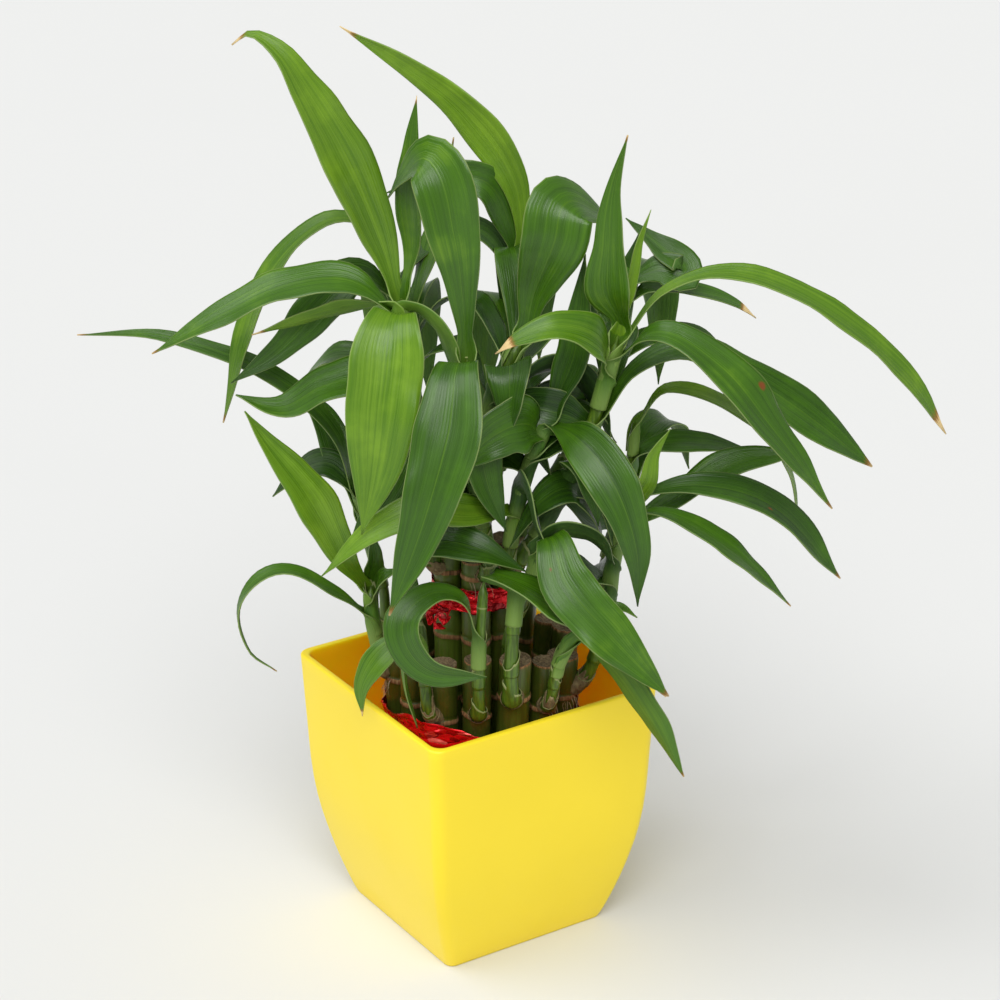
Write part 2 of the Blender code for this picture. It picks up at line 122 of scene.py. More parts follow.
# Leaves of the frame: shoot, height where the leaf leaves it, side of the shoot, width,
# twist once clear of the shoot and at the tip (degrees), the points the midrib passes,
# then tone (0 dark to 1 pale) and the share of the length that is dry at the tip.
# Tone is set leaf by leaf to how bright each leaf looks, so it is partly the leaf's own
# green and partly painted light and shade; the first two leaves are paler with painted
# light shining through them from behind
LEAVES = (
    ("left_top", 252, 225, 20, -20, 0, (
        (-33, -13, 276), (-45, -17, 308), (-60, -19, 337), (-67, -17, 346), (-76, -14, 351),
        (-83, -10, 346)), 0.76, 0.04),
    ("back_top", 256, 170, 15, 0, 0, (
        (14, 24, 287), (-2, 26, 310), (-23, 28, 327), (-48, 30, 342)), 0.80, 0.04),
    ("left_top", 254, 140, 10, 0, 40, (
        (-22, -9, 272), (-23, -7, 289), (-22, -5, 310), (-20, -3, 326)), 0.50, 0.02),
    ("front_top", 236, 185, 20, 0, 0, (
        (-4, -27, 257), (-7, -29, 283), (-15, -22, 308), (-26, -10, 298), (-31, -6, 290)),
     0.46, 0.0),
    ("middle_top", 236, 170, 25, 0, 0, (
        (21, -3, 253), (28, -8, 274), (32, -3, 287), (43, 8, 280), (49, 12, 272)), 0.40, 0.0),
    ("right_top", 238, 160, 16, 0, 0, (
        (47, -15, 258), (47, -17, 275), (48, -16, 295), (53, -14, 315)), 0.45, 0.01),
    ("back_right_top", 244, 95, 13, 45, 30, (
        (67, 24, 253), (77, 24, 252), (68, 28, 260), (55, 32, 270)), 0.30, 0.0),
    ("back_right_top", 236, 95, 10, 20, 20, (
        (64, 26, 245), (83, 30, 242), (96, 30, 238), (104, 30, 232)), 0.35, 0.10),
    ("right_top", 234, 100, 12, 0, 35, (
        (67, -10, 257), (91, -12, 264), (121, -12, 253), (154, -9, 225), (171, -6, 200)),
     0.70, 0.045),
    ("right_top", 228, 60, 17, 22, 18, (
        (66, -28, 248), (85, -34, 238), (103, -36, 217), (128, -32, 182)), 0.40, 0.01),
    ("right_top", 205, 95, 17, 30, 50, (
        (57, -10, 227), (77, -8, 234), (112, -2, 212), (146, 2, 184)), 0.28, 0.01),
    ("back_right", 194, 95, 10, 10, 0, (
        (71, 10, 212), (97, 10, 203), (116, 10, 179), (121, 10, 151)), 0.75, 0.02),
    ("back_right", 180, 95, 14, 10, 10, (
        (69, 14, 188), (84, 15, 188), (105, 17, 183)), 0.35, 0.0),
    ("right", 160, 100, 13, 35, 35, (
        (72, -6, 174), (95, 0, 186), (119, 3, 189)), 0.35, 0.0),
    ("right", 174, 80, 15, 30, 30, (
        (81, -17, 185), (107, -19, 178), (134, -16, 147)), 0.26, 0.01),
    ("right", 167, 60, 13, 0, 0, (
        (68, -24, 177), (88, -28, 167), (115, -25, 140)), 0.42, 0.01),
    ("centre", 204, 40, 18, 55, 55, (
        (39, -34, 207), (50, -44, 194), (57, -48, 173), (58, -46, 150)), 0.20, 0.0),
    ("right_top", 222, 320, 17, -50, -50, (
        (44, -24, 243), (30, -32, 251), (16, -34, 248), (7, -34, 242)), 0.58, 0.09),
    ("front_top", 222, 350, 24, 0, 0, (
        (-6, -42, 241), (-9, -58, 222), (-17, -66, 194), (-30, -70, 158)), 0.27, 0.01),
    ("left_top", 238, 345, 26, 0, 0, (
        (-28, -31, 255), (-31, -45, 235), (-35, -50, 203), (-40, -50, 180)), 0.72, 0.0),
    ("left_top", 245, 275, 16, -52, -45, (
        (-44, -14, 262), (-65, -15, 261), (-89, -16, 250), (-115, -15, 235)), 0.45, 0.01),
    ("back_left_top", 248, 255, 13, 0, -25, (
        (-39, 14, 273), (-55, 14, 274), (-77, 12, 251), (-93, 6, 200)), 0.66, 0.01),
    ("back_left_top", 242, 280, 16, -45, -45, (
        (-42, 8, 257), (-54, 4, 248), (-71, 2, 230), (-89, 2, 217)), 0.20, 0.0),
    ("back_left", 166, 265, 9, -35, -35, (
        (-52, 12, 194), (-74, 14, 215), (-114, 16, 230), (-146, 18, 230)), 0.35, 0.01),
    ("left_top", 215, 280, 17, -60, -60, (
        (-37, -18, 227), (-54, -16, 223), (-70, -14, 214), (-86, -12, 218)), 0.35, 0.0),
    ("left", 134, 262, 16, -60, -35, (
        (-48, -12, 153), (-59, -14, 178), (-76, -12, 201), (-83, -10, 211)), 0.80, 0.0),
    ("left", 125, 290, 9, -15, 0, (
        (-52, -16, 142), (-72, -20, 152), (-86, -22, 140), (-84, -22, 121), (-74, -20, 111)),
     0.45, 0.01),
    ("centre", 170, 300, 14, -25, -25, (
        (-2, -34, 182), (-19, -44, 187), (-37, -46, 179), (-55, -44, 161)), 0.80, 0.0),
    ("left_top", 195, 330, 13, -45, -45, (
        (-25, -30, 203), (-34, -36, 187), (-45, -36, 171)), 0.30, 0.0),
    ("front", 132, 300, 15, -30, -30, (
        (-5, -46, 153), (-16, -50, 157), (-26, -58, 148), (-18, -62, 133), (4, -62, 130)),
     0.35, 0.0),
    ("front_inner", 160, 30, 20, 0, 0, (
        (27, -42, 175), (32, -54, 163), (49, -60, 144), (69, -60, 121)), 0.45, 0.01),
    ("front_right", 148, 330, 18, 20, 20, (
        (5, -40, 160), (20, -46, 156), (45, -50, 139), (69, -50, 116)), 0.50, 0.01),
    ("right_low", 130, 45, 13, 0, 0, (
        (47, -40, 127), (60, -46, 112), (76, -50, 83)), 0.50, 0.01),
    ("centre", 200, 300, 21, -30, -30, (
        (16, -28, 213), (5, -34, 210), (-9, -37, 197)), 0.30, 0.0),
    ("front_left", 150, 60, 17, 30, 30, (
        (-14, -34, 169), (0, -38, 169), (18, -38, 160)), 0.15, 0.0),
    ("centre", 206, 100, 13, 45, 45, (
        (30, -12, 218), (36, -8, 234), (39, 0, 267)), 0.15, 0.0),
)

# Smaller leaves that fill the crowns, in the same form, by the crown they belong to
CROWN_LEAVES = {
    "front": (
        ("left_top", 248, 290, 13, -30, -30, (
            (-39, -12, 252), (-55, -8, 247), (-80, -6, 239)), 0.80, 0.06),
        ("left_top", 248, 20, 12, 10, 30, (
            (-18, -22, 253), (-10, -22, 241), (-6, -18, 212)), 0.70, 0.0),
        ("front_top", 206, 30, 14, 20, 20, (
            (1, -30, 206), (5, -33, 190), (11, -34, 174)), 0.20, 0.0),
        ("front_left", 146, 300, 9, -20, 0, (
            (-27, -38, 137), (-26, -43, 118), (-21, -44, 100)), 0.55, 0.0),
        ("front_left", 128, 280, 10, -20, -20, (
            (-31, -34, 128), (-37, -36, 122), (-42, -36, 112), (-42, -35, 100)), 0.65, 0.04),
        ("right", 150, 310, 18, -40, -40, (
            (36, -16, 182), (23, -22, 180), (12, -24, 163)), 0.10, 0.0),
        ("left", 130, 60, 9, 20, 20, (
            (-35, -16, 146), (-33, -24, 152), (-27, -30, 158)), 0.40, 0.0),
        ("left", 136, 190, 7, 0, 0, (
            (-37, -10, 152), (-38, -14, 166)), 0.35, 0.12),
        ("right_low", 126, 100, 8, 20, 20, (
            (44, -30, 138), (52, -30, 142), (59, -30, 138)), 0.55, 0.0),
        ("right", 165, 185, 8, 0, 0, (
            (62, -20, 187), (64, -19, 197), (70, -18, 207)), 0.90, 0.0),
        ("right_top", 236, 185, 4, 0, 0, (
            (56, -10, 262), (58, -9, 274), (62, -8, 286)), 0.90, 0.0),
        ("front_inner", 164, 0, 14, 40, 40, (
            (30, -34, 174), (42, -34, 172), (50, -32, 160)), 0.10, 0.0),
        ("centre", 190, 70, 16, 40, 30, (
            (34, -16, 200), (46, -16, 196), (54, -16, 180)), 0.10, 0.0),
        ("centre", 180, 330, 16, -10, -10, (
            (18, -30, 188), (22, -36, 176), (32, -40, 160)), 0.15, 0.0),
    ),
    "middle": (
        ("middle_top", 225, 250, 13, -30, -30, (
            (2, 8, 246), (-6, 12, 247), (-16, 14, 240), (-24, 14, 226)), 0.10, 0.0),
        ("middle_top", 205, 60, 16, 20, 20, (
            (20, -4, 222), (32, 0, 224), (44, 2, 210), (50, 2, 192)), 0.10, 0.0),
        ("middle_top", 195, 280, 16, -30, -30, (
            (-6, -8, 210), (-16, -8, 212), (-26, -6, 200), (-30, -6, 186)), 0.12, 0.0),
        ("middle_top", 215, 120, 15, 10, 10, (
            (22, 6, 232), (34, 14, 236), (46, 20, 226)), 0.12, 0.0),
        ("centre", 196, 120, 14, 30, 30, (
            (32, -6, 206), (42, 2, 206), (52, 6, 192)), 0.12, 0.0),
        ("back_right", 150, 300, 15, -40, -30, (
            (42, 4, 166), (30, -2, 176), (18, -6, 172)), 0.08, 0.0),
        ("back_left", 150, 60, 15, 20, 20, (
            (-32, 4, 164), (-20, 0, 170), (-8, -2, 162)), 0.10, 0.0),
        ("left_top", 190, 60, 14, 30, 30, (
            (-12, -16, 200), (-2, -14, 196), (6, -12, 182)), 0.15, 0.0),
        ("front_top", 190, 75, 15, 30, 30, (
            (10, -18, 200), (20, -14, 198), (28, -12, 186)), 0.12, 0.0),
        ("back_right_top", 225, 0, 14, 0, 0, (
            (53, 12, 234), (50, 2, 228), (48, -4, 210)), 0.12, 0.0),
        ("centre", 186, 250, 18, -20, -20, (
            (6, -14, 196), (-6, -12, 194), (-16, -10, 178)), 0.20, 0.0),
        ("middle_top", 218, 20, 17, 10, 10, (
            (12, -18, 232), (12, -26, 228), (12, -30, 208)), 0.15, 0.0),
        ("right_top", 200, 250, 17, -20, -20, (
            (28, -14, 212), (18, -12, 212), (8, -8, 198)), 0.12, 0.0),
        ("right_top", 185, 20, 16, 20, 20, (
            (38, -22, 198), (42, -30, 194), (44, -34, 176)), 0.20, 0.0),
        ("back_top", 200, 20, 16, 0, 0, (
            (14, 10, 216), (13, 0, 216), (12, -6, 198)), 0.10, 0.0),
        ("back_top", 185, 300, 16, -10, -10, (
            (4, 12, 200), (-8, 4, 202), (-16, 0, 188)), 0.10, 0.0),
        ("back_left_top", 215, 60, 16, 0, 0, (
            (-14, 6, 228), (-4, 2, 230), (4, -2, 214)), 0.12, 0.0),
        ("back_right_top", 195, 250, 15, -10, -10, (
            (34, 12, 208), (22, 6, 208), (12, 2, 192)), 0.10, 0.0),
        ("left_top", 175, 100, 13, 10, 10, (
            (-10, -16, 184), (-2, -12, 184), (6, -10, 170)), 0.15, 0.0),
        ("front_top", 180, 270, 15, -20, -20, (
            (-8, -24, 190), (-18, -26, 190), (-26, -26, 174)), 0.20, 0.0),
        ("right", 140, 300, 14, -20, -20, (
            (40, -20, 152), (30, -24, 152), (22, -26, 140)), 0.12, 0.0),
        ("back_right", 130, 20, 14, 10, 10, (
            (46, 4, 144), (44, -6, 142), (42, -12, 128)), 0.12, 0.0),
        ("right_top", 170, 60, 14, 10, 10, (
            (38, -14, 180), (46, -18, 178), (50, -20, 162)), 0.10, 0.0),
        ("back_right_top", 205, 150, 13, 10, 10, (
            (50, 28, 224), (54, 34, 242), (60, 38, 262)), 0.15, 0.0),
    ),
    "back": (
        ("back_top", 252, 215, 14, -10, 0, (
            (12, 24, 272), (5, 22, 286), (-6, 22, 289), (-20, 20, 288), (-32, 18, 284)),
         0.30, 0.0),
        ("back_top", 244, 250, 11, -20, -20, (
            (6, 26, 264), (-6, 28, 268), (-20, 26, 258), (-30, 22, 246)), 0.20, 0.0),
        ("back_top", 238, 150, 18, 0, 0, (
            (20, 36, 250), (22, 50, 248), (24, 62, 230), (24, 68, 200)), 0.40, 0.01),
        ("back_top", 218, 190, 18, 0, 0, (
            (12, 38, 236), (8, 54, 232), (4, 66, 208), (2, 70, 178)), 0.45, 0.0),
        ("back_top", 196, 120, 15, 10, 10, (
            (26, 34, 210), (40, 48, 206), (48, 56, 184)), 0.30, 0.0),
        ("back_left_top", 232, 200, 17, -10, 0, (
            (-30, 27, 248), (-33, 42, 243), (-36, 54, 222), (-36, 60, 190)), 0.45, 0.02),
        ("back_left_top", 222, 170, 17, 0, 0, (
            (-24, 28, 240), (-22, 46, 238), (-20, 60, 216), (-18, 64, 186)), 0.30, 0.0),
        ("back_left_top", 205, 235, 14, -20, -20, (
            (-38, 22, 218), (-56, 34, 214), (-72, 42, 190)), 0.35, 0.0),
        ("back_left_top", 232, 120, 12, 10, 0, (
            (-18, 22, 256), (-12, 30, 276), (-8, 34, 300)), 0.50, 0.01),
        ("back_right_top", 240, 150, 17, 10, 10, (
            (60, 38, 250), (66, 50, 246), (70, 58, 224), (70, 60, 194)), 0.45, 0.0),
        ("back_right_top", 222, 185, 16, 0, 0, (
            (48, 40, 238), (46, 56, 232), (44, 64, 206)), 0.30, 0.0),
        ("back_right_top", 212, 110, 14, 20, 20, (
            (64, 30, 224), (86, 38, 220), (102, 42, 196)), 0.40, 0.01),
        ("back_right", 172, 150, 15, 10, 10, (
            (64, 28, 188), (74, 42, 186), (82, 52, 162)), 0.35, 0.0),
        ("back_right", 156, 185, 15, 0, 0, (
            (52, 30, 172), (50, 46, 168), (50, 56, 144)), 0.35, 0.0),
        ("back_left", 158, 180, 15, 0, 0, (
            (-42, 28, 172), (-42, 44, 170), (-44, 56, 146)), 0.45, 0.0),
        ("back_left", 168, 240, 12, -20, -20, (
            (-55, 15, 180), (-66, 16, 176), (-76, 16, 166)), 0.15, 0.0),
        ("back_left", 162, 215, 13, -10, 0, (
            (-52, 22, 184), (-60, 32, 196), (-74, 40, 200)), 0.40, 0.0),
        ("middle_top", 228, 170, 15, 0, 0, (
            (16, 8, 252), (14, 22, 262), (12, 34, 252), (10, 42, 226)), 0.25, 0.0),
    ),
}

# Lower and upper edge of each foil tie, in millimetres
LOWER_TIE = (66.0, 91.0)
UPPER_TIE = (133.5, 143.0)


# Sizes and colours a user would change

class BambooPotSettings(bpy.types.PropertyGroup):
    """Sizes and colour of the pot"""
    wall: bpy.props.FloatProperty(
        name="Wall", description="Thickness of the pot's wall", default=2.8 * MM,
        min=1.0 * MM, max=6.0 * MM, subtype="DISTANCE", unit="LENGTH")
    corner: bpy.props.FloatProperty(
        name="Corner", description="Corner radius at the rim", default=5.0 * MM,
        min=2.0 * MM, max=12.0 * MM, subtype="DISTANCE", unit="LENGTH")
    lip: bpy.props.FloatProperty(
        name="Lip", description="Rounding of the rim's edges", default=0.9 * MM,
        min=0.2 * MM, max=1.3 * MM, subtype="DISTANCE", unit="LENGTH")
    colour: bpy.props.FloatVectorProperty(
        name="Colour", description="Moulded plastic", default=(1.0, 0.77, 0.026),
        min=0.0, max=1.0, size=3, subtype="COLOR")


class BambooStalkSettings(bpy.types.PropertyGroup):
    """Sizes and colour of the stalks and shoots"""
    inner_radius: bpy.props.FloatProperty(
        name="Inner Radius", description="Radius of the inner tier's stalks",
        default=5.5 * MM, min=4.0 * MM, max=6.0 * MM, subtype="DISTANCE", unit="LENGTH")
    thin_radius: bpy.props.FloatProperty(
        name="Thin Outer Radius", description="Radius of every other outer stalk",
        default=5.3 * MM, min=4.0 * MM, max=6.0 * MM, subtype="DISTANCE", unit="LENGTH")
    thick_radius: bpy.props.FloatProperty(
        name="Thick Outer Radius", description="Radius of the outer stalks between",
        default=6.1 * MM, min=4.0 * MM, max=6.5 * MM, subtype="DISTANCE", unit="LENGTH")
    node_swell: bpy.props.FloatProperty(
        name="Node Swell", description="How far a node ring stands proud",
        default=0.4 * MM, min=0.0, max=1.0 * MM, subtype="DISTANCE", unit="LENGTH")
    ring_spacing: bpy.props.FloatProperty(
        name="Shoot Ring Spacing", description="Distance between leaf scars on a shoot",
        default=15.0 * MM, min=3.0 * MM, max=40.0 * MM, subtype="DISTANCE", unit="LENGTH")
    skin: bpy.props.FloatVectorProperty(
        name="Skin", description="Green skin of the stalks", default=(0.062, 0.088, 0.008),
        min=0.0, max=1.0, size=3, subtype="COLOR")
    rootlets: bpy.props.FloatProperty(
        name="Rootlets", description="Rootlets per square metre of node ring",
        default=60000.0, min=0.0, max=300000.0)


class BambooLeafSettings(bpy.types.PropertyGroup):
    """Form and colour of the leaves"""
    thickness: bpy.props.FloatProperty(
        name="Thickness", description="Thickness of a leaf", default=0.45 * MM,
        min=0.2 * MM, max=1.0 * MM, subtype="DISTANCE", unit="LENGTH")
    channel: bpy.props.FloatProperty(
        name="Channel", description="Rise of the edges above the midrib, per half-width",
        default=0.17, min=0.0, max=0.5)
    ripple: bpy.props.FloatProperty(
        name="Ripple", description="Waviness of the edges, per half-width", default=0.14,
        min=0.0, max=0.3)
    stations: bpy.props.IntProperty(
        name="Stations", description="Cross-sections along a leaf", default=44, min=12, max=80)
    blade: bpy.props.FloatVectorProperty(
        name="Blade", description="Green of a leaf in full light",
        default=(0.052, 0.146, 0.004), min=0.0, max=1.0, size=3, subtype="COLOR")


class BambooTieSettings(bpy.types.PropertyGroup):
    """Form and colour of the foil ties"""
    crumple: bpy.props.FloatProperty(
        name="Crumple", description="Depth of the foil's creases", default=0.9 * MM,
        min=0.0, max=3.0 * MM, subtype="DISTANCE", unit="LENGTH")
    foil: bpy.props.FloatVectorProperty(
        name="Foil", description="Metallised red foil", default=(0.80, 0.008, 0.016),
        min=0.0, max=1.0, size=3, subtype="COLOR")


class BambooStageSettings(bpy.types.PropertyGroup):
    """Floor and lights"""
    floor: bpy.props.FloatVectorProperty(
        name="Floor", description="Pale matt floor", default=(0.725, 0.73, 0.72),
        min=0.0, max=1.0, size=3, subtype="COLOR")
    key: bpy.props.FloatProperty(
        name="Key Light", description="Strength of the soft light from the left",
        default=1.20, min=0.0, max=20.0)
    front: bpy.props.FloatProperty(
        name="Front Light", description="Strength of the soft light over the camera",
        default=1.95, min=0.0, max=20.0)
    sky: bpy.props.FloatProperty(
        name="Surround", description="Strength of the even light from all round",
        default=0.42, min=0.0, max=3.0)


# Node helpers

def node(tree, kind, inputs=None, **settings):
    """One node with its settings, each input linked to a socket or set to a value."""
    made = tree.nodes.new(kind)
    for key, value in settings.items():
        setattr(made, key, value)
    for key, value in (inputs or {}).items():
        if isinstance(value, bpy.types.NodeSocket):
            tree.links.new(value, made.inputs[key])
        else:
            made.inputs[key].default_value = value
    return made


def maths(tree, operation, a, b=0.0):
    """One sum on a and b."""
    return node(tree, "ShaderNodeMath", {0: a, 1: b}, operation=operation).outputs[0]


def vectors(tree, operation, a, b, c=None):
    """One sum on vectors; SCALE takes a plain number as b."""
    inputs = {0: a, "Scale" if operation == "SCALE" else 1: b}
    if c is not None:
        inputs[2] = c
    made = node(tree, "ShaderNodeVectorMath", inputs, operation=operation)
    return made.outputs["Value" if operation == "DOT_PRODUCT" else "Vector"]


def attribute(tree, name, output="Fac"):
    """A value that the mesh holds for each vertex."""
    return node(tree, "ShaderNodeAttribute", attribute_name=name).outputs[output]


def total(tree, first, *shares):
    """A value with the share of each mask added to it in turn."""
    for mask, share in shares:
        first = maths(tree, "ADD", first, maths(tree, "MULTIPLY", mask, share))
    return first


def blend(tree, factor, a, b, share=None):
    """Colour a turned towards colour b by the factor, or by a share of it."""
    if share is not None:
        factor = maths(tree, "MULTIPLY", factor, share)
    colours = {key: colour if isinstance(colour, bpy.types.NodeSocket) else (*colour, 1.0)
               for key, colour in ((6, a), (7, b))}
    return node(tree, "ShaderNodeMix", {0: factor, **colours}, data_type="RGBA").outputs[2]


def remap(tree, value, low, high, to_low=0.0, to_high=1.0):
    """A value eased from one range to another."""
    made = node(tree, "ShaderNodeMapRange", {0: value, 1: low, 2: high, 3: to_low,
                                             4: to_high}, interpolation_type="SMOOTHSTEP")
    return made.outputs[0]


def ramp(tree, value, stops):
    """Colours between the stops, each a position and a colour."""
    made = node(tree, "ShaderNodeValToRGB", {0: value})
    elements = made.color_ramp.elements
    while len(elements) < len(stops):
        elements.new(0.5)
    for element, (position, colour) in zip(elements, stops):
        element.position = position
        element.color = (*colour, 1.0)
    return made.outputs[0]


def shader_group(name, inputs, outputs):
    """An empty shader node group with its sockets, and its two end nodes."""
    tree = bpy.data.node_groups.new(name, "ShaderNodeTree")
    for label, kind, default in inputs:
        made = tree.interface.new_socket(label, in_out="INPUT", socket_type=kind)
        if default is not None:
            made.default_value = default
    for label, kind in outputs:
        tree.interface.new_socket(label, in_out="OUTPUT", socket_type=kind)
    return tree, tree.nodes.new("NodeGroupInput"), tree.nodes.new("NodeGroupOutput")


def use_group(tree, group, inputs):
    """A node group placed in a material; returns what it puts out."""
    return node(tree, "ShaderNodeGroup", inputs, node_tree=group).outputs


FLOAT = "NodeSocketFloat"
VECTOR = "NodeSocketVector"


def fibre_group():
    """Noise drawn out along one way: fibres, streaks and veins."""
    if "Bamboo Fibres" in bpy.data.node_groups:
        return bpy.data.node_groups["Bamboo Fibres"]
    tree, start, end = shader_group(
        "Bamboo Fibres",
        (("Vector", VECTOR, None), ("Across", FLOAT, 900.0), ("Along", FLOAT, 60.0),
         ("Low", FLOAT, 0.35), ("High", FLOAT, 0.65)),
        (("Mask", FLOAT), ("Height", FLOAT)))
    scale = node(tree, "ShaderNodeCombineXYZ", {0: start.outputs["Across"],
                                                1: start.outputs["Across"],
                                                2: start.outputs["Along"]})
    stretched = vectors(tree, "MULTIPLY", start.outputs["Vector"], scale.outputs[0])
    strands = node(tree, "ShaderNodeTexNoise", {"Vector": stretched, "Scale": 1.0,
                                                "Detail": 4.0, "Roughness": 0.6})
    mask = remap(tree, strands.outputs["Fac"], start.outputs["Low"], start.outputs["High"])
    tree.links.new(mask, end.inputs["Mask"])
    tree.links.new(strands.outputs["Fac"], end.inputs["Height"])
    return tree


def mottle_group():
    """Soft patches of a second tone."""
    if "Bamboo Mottle" in bpy.data.node_groups:
        return bpy.data.node_groups["Bamboo Mottle"]
    tree, start, end = shader_group(
        "Bamboo Mottle",
        (("Vector", VECTOR, None), ("Scale", FLOAT, 60.0), ("Low", FLOAT, 0.45),
         ("High", FLOAT, 0.7)),
        (("Mask", FLOAT), ("Height", FLOAT)))
    patches = node(tree, "ShaderNodeTexNoise", {"Vector": start.outputs["Vector"],
                                                "Scale": start.outputs["Scale"],
                                                "Detail": 5.0, "Roughness": 0.55})
    mask = remap(tree, patches.outputs["Fac"], start.outputs["Low"], start.outputs["High"])
    tree.links.new(mask, end.inputs["Mask"])
    tree.links.new(patches.outputs["Fac"], end.inputs["Height"])
    return tree


def blade_group():
    """Marks of a leaf from its own map: veins, midrib, pale margin, foot and dry tip."""
    if "Bamboo Blade Marks" in bpy.data.node_groups:
        return bpy.data.node_groups["Bamboo Blade Marks"]
    tree, start, end = shader_group(
        "Bamboo Blade Marks",
        (("Map", VECTOR, None), ("Veins", FLOAT, 19.0), ("Dry", FLOAT, 0.0),
         ("Blemish", VECTOR, None)),
        (("Vein", FLOAT), ("Midrib", FLOAT), ("Margin", FLOAT), ("Foot", FLOAT),
         ("Dry", FLOAT), ("Crisp", FLOAT), ("Blemish", FLOAT)))
    parts = node(tree, "ShaderNodeSeparateXYZ", {0: start.outputs["Map"]})
    across, along = parts.outputs[0], parts.outputs[1]
    turns = maths(tree, "MULTIPLY", across, start.outputs["Veins"])
    wave = maths(tree, "SINE", maths(tree, "MULTIPLY", turns, 2 * pi))
    tree.links.new(maths(tree, "MULTIPLY_ADD", wave, 0.5), end.inputs["Vein"])
    off = maths(tree, "ABSOLUTE", maths(tree, "SUBTRACT", across, 0.5))
    tree.links.new(remap(tree, off, 0.004, 0.016, 1.0, 0.0), end.inputs["Midrib"])
    tree.links.new(remap(tree, off, 0.482, 0.497), end.inputs["Margin"])
    tree.links.new(remap(tree, along, 0.02, 0.17, 1.0, 0.0), end.inputs["Foot"])
    rough = node(tree, "ShaderNodeTexNoise", {"Vector": start.outputs["Map"], "Scale": 9.0,
                                              "Detail": 3.0})
    wander = maths(tree, "MULTIPLY", maths(tree, "SUBTRACT", rough.outputs["Fac"], 0.5), 0.05)
    limit = maths(tree, "SUBTRACT", 1.0, start.outputs["Dry"])
    reach = maths(tree, "SUBTRACT", maths(tree, "ADD", along, wander), limit)
    any_dry = maths(tree, "GREATER_THAN", start.outputs["Dry"], 0.004)
    tree.links.new(maths(tree, "MULTIPLY", remap(tree, reach, -0.025, 0.0), any_dry),
                   end.inputs["Dry"])
    tree.links.new(remap(tree, reach, -0.008, 0.012), end.inputs["Crisp"])
    spot = node(tree, "ShaderNodeSeparateXYZ", {0: start.outputs["Blemish"]})
    sideways = maths(tree, "MULTIPLY", maths(tree, "SUBTRACT", across, spot.outputs[0]), 0.22)
    lengthways = maths(tree, "SUBTRACT", along, spot.outputs[1])
    away = maths(tree, "ADD", maths(tree, "MULTIPLY", sideways, sideways),
                 maths(tree, "MULTIPLY", lengthways, lengthways))
    away = maths(tree, "ADD", maths(tree, "SQRT", away), maths(tree, "MULTIPLY", wander, 0.3))
    tree.links.new(remap(tree, maths(tree, "SUBTRACT", away, spot.outputs[2]), -0.01, 0.0,
                         1.0, 0.0), end.inputs["Blemish"])
    return tree


def surface(name):
    """A new material: its tree, its Principled shader and its object coordinates."""
    made = bpy.data.materials.new(name)
    made.use_nodes = True
    tree = made.node_tree
    place = tree.nodes.new("ShaderNodeTexCoord").outputs["Object"]
    return made, tree, tree.nodes["Principled BSDF"], place


def made_once(maker):
    """Lets a finish be made once: its name gets the same material again later."""
    def finish(name, *values, **more):
        """The material of that name, made if there is none yet."""
        return bpy.data.materials.get(name) or maker(name, *values, **more)
    return finish


def paint(tree, shader, colour, roughness):
    """Colour and roughness that change over a surface."""
    tree.links.new(colour, shader.inputs["Base Color"])
    tree.links.new(roughness, shader.inputs["Roughness"])


def relief(tree, shader, height, distance, strength=1.0):
    """Fine relief on a surface, from a height."""
    bump = node(tree, "ShaderNodeBump", {"Height": height, "Distance": distance,
                                         "Strength": strength})
    tree.links.new(bump.outputs[0], shader.inputs["Normal"])


def shade(colour, factor):
    """A colour made darker or lighter by a factor."""
    return tuple(min(channel * factor, 1.0) for channel in colour)


# Finishes

# Fine, broad and short pale streaks of the leaves, each as scale across, scale along, low and
# high; the short pale streaks are painted highlights
LEAF_STREAKS = ((46.0, 1.6, 0.35, 0.7), (9.0, 1.7, 0.3, 0.75), (60.0, 14.0, 0.66, 0.74))
LEAF_PATTERN_SHIFT = (37.0, 5.0, 91.0)  # by tone, so that no two leaves are marked alike
MARGIN_COLOUR = (0.36, 0.44, 0.16)
BLEMISH_COLOUR = (0.20, 0.055, 0.010)
DRY_COLOUR = (0.30, 0.13, 0.025)
CRISP_COLOUR = (0.80, 0.60, 0.28)   # the very end of a dry tip
STALK_PATCH = (0.115, 0.105, 0.018)
STALK_SPECK = (0.16, 0.10, 0.04)
BARK_COLOURS = ((0.3, (0.10, 0.045, 0.016)), (0.55, (0.33, 0.16, 0.060)),
                (0.75, (0.55, 0.37, 0.18)))
SHOOT_COLOURS = ((0.0, (0.045, 0.088, 0.006)), (0.5, (0.084, 0.165, 0.010)),
                 (1.0, (0.16, 0.26, 0.020)))
SHOOT_SCAR = (0.40, 0.42, 0.18)
# Pale pink of the brightest foil facets: a painted highlight
FOIL_GLINT = (1.0, 0.22, 0.20)
FOIL_STRETCH = (1.0, 1.0, 2.4)      # creases run round the tie more than up it
FOIL_WARP = 6.0 * MM                # how far the facets' edges stray
POT_GLOW_REACH = (1.0, 0.42, 0.02)  # red light goes furthest through the plastic
POT_GLOW_DEPTH = 14.0 * MM


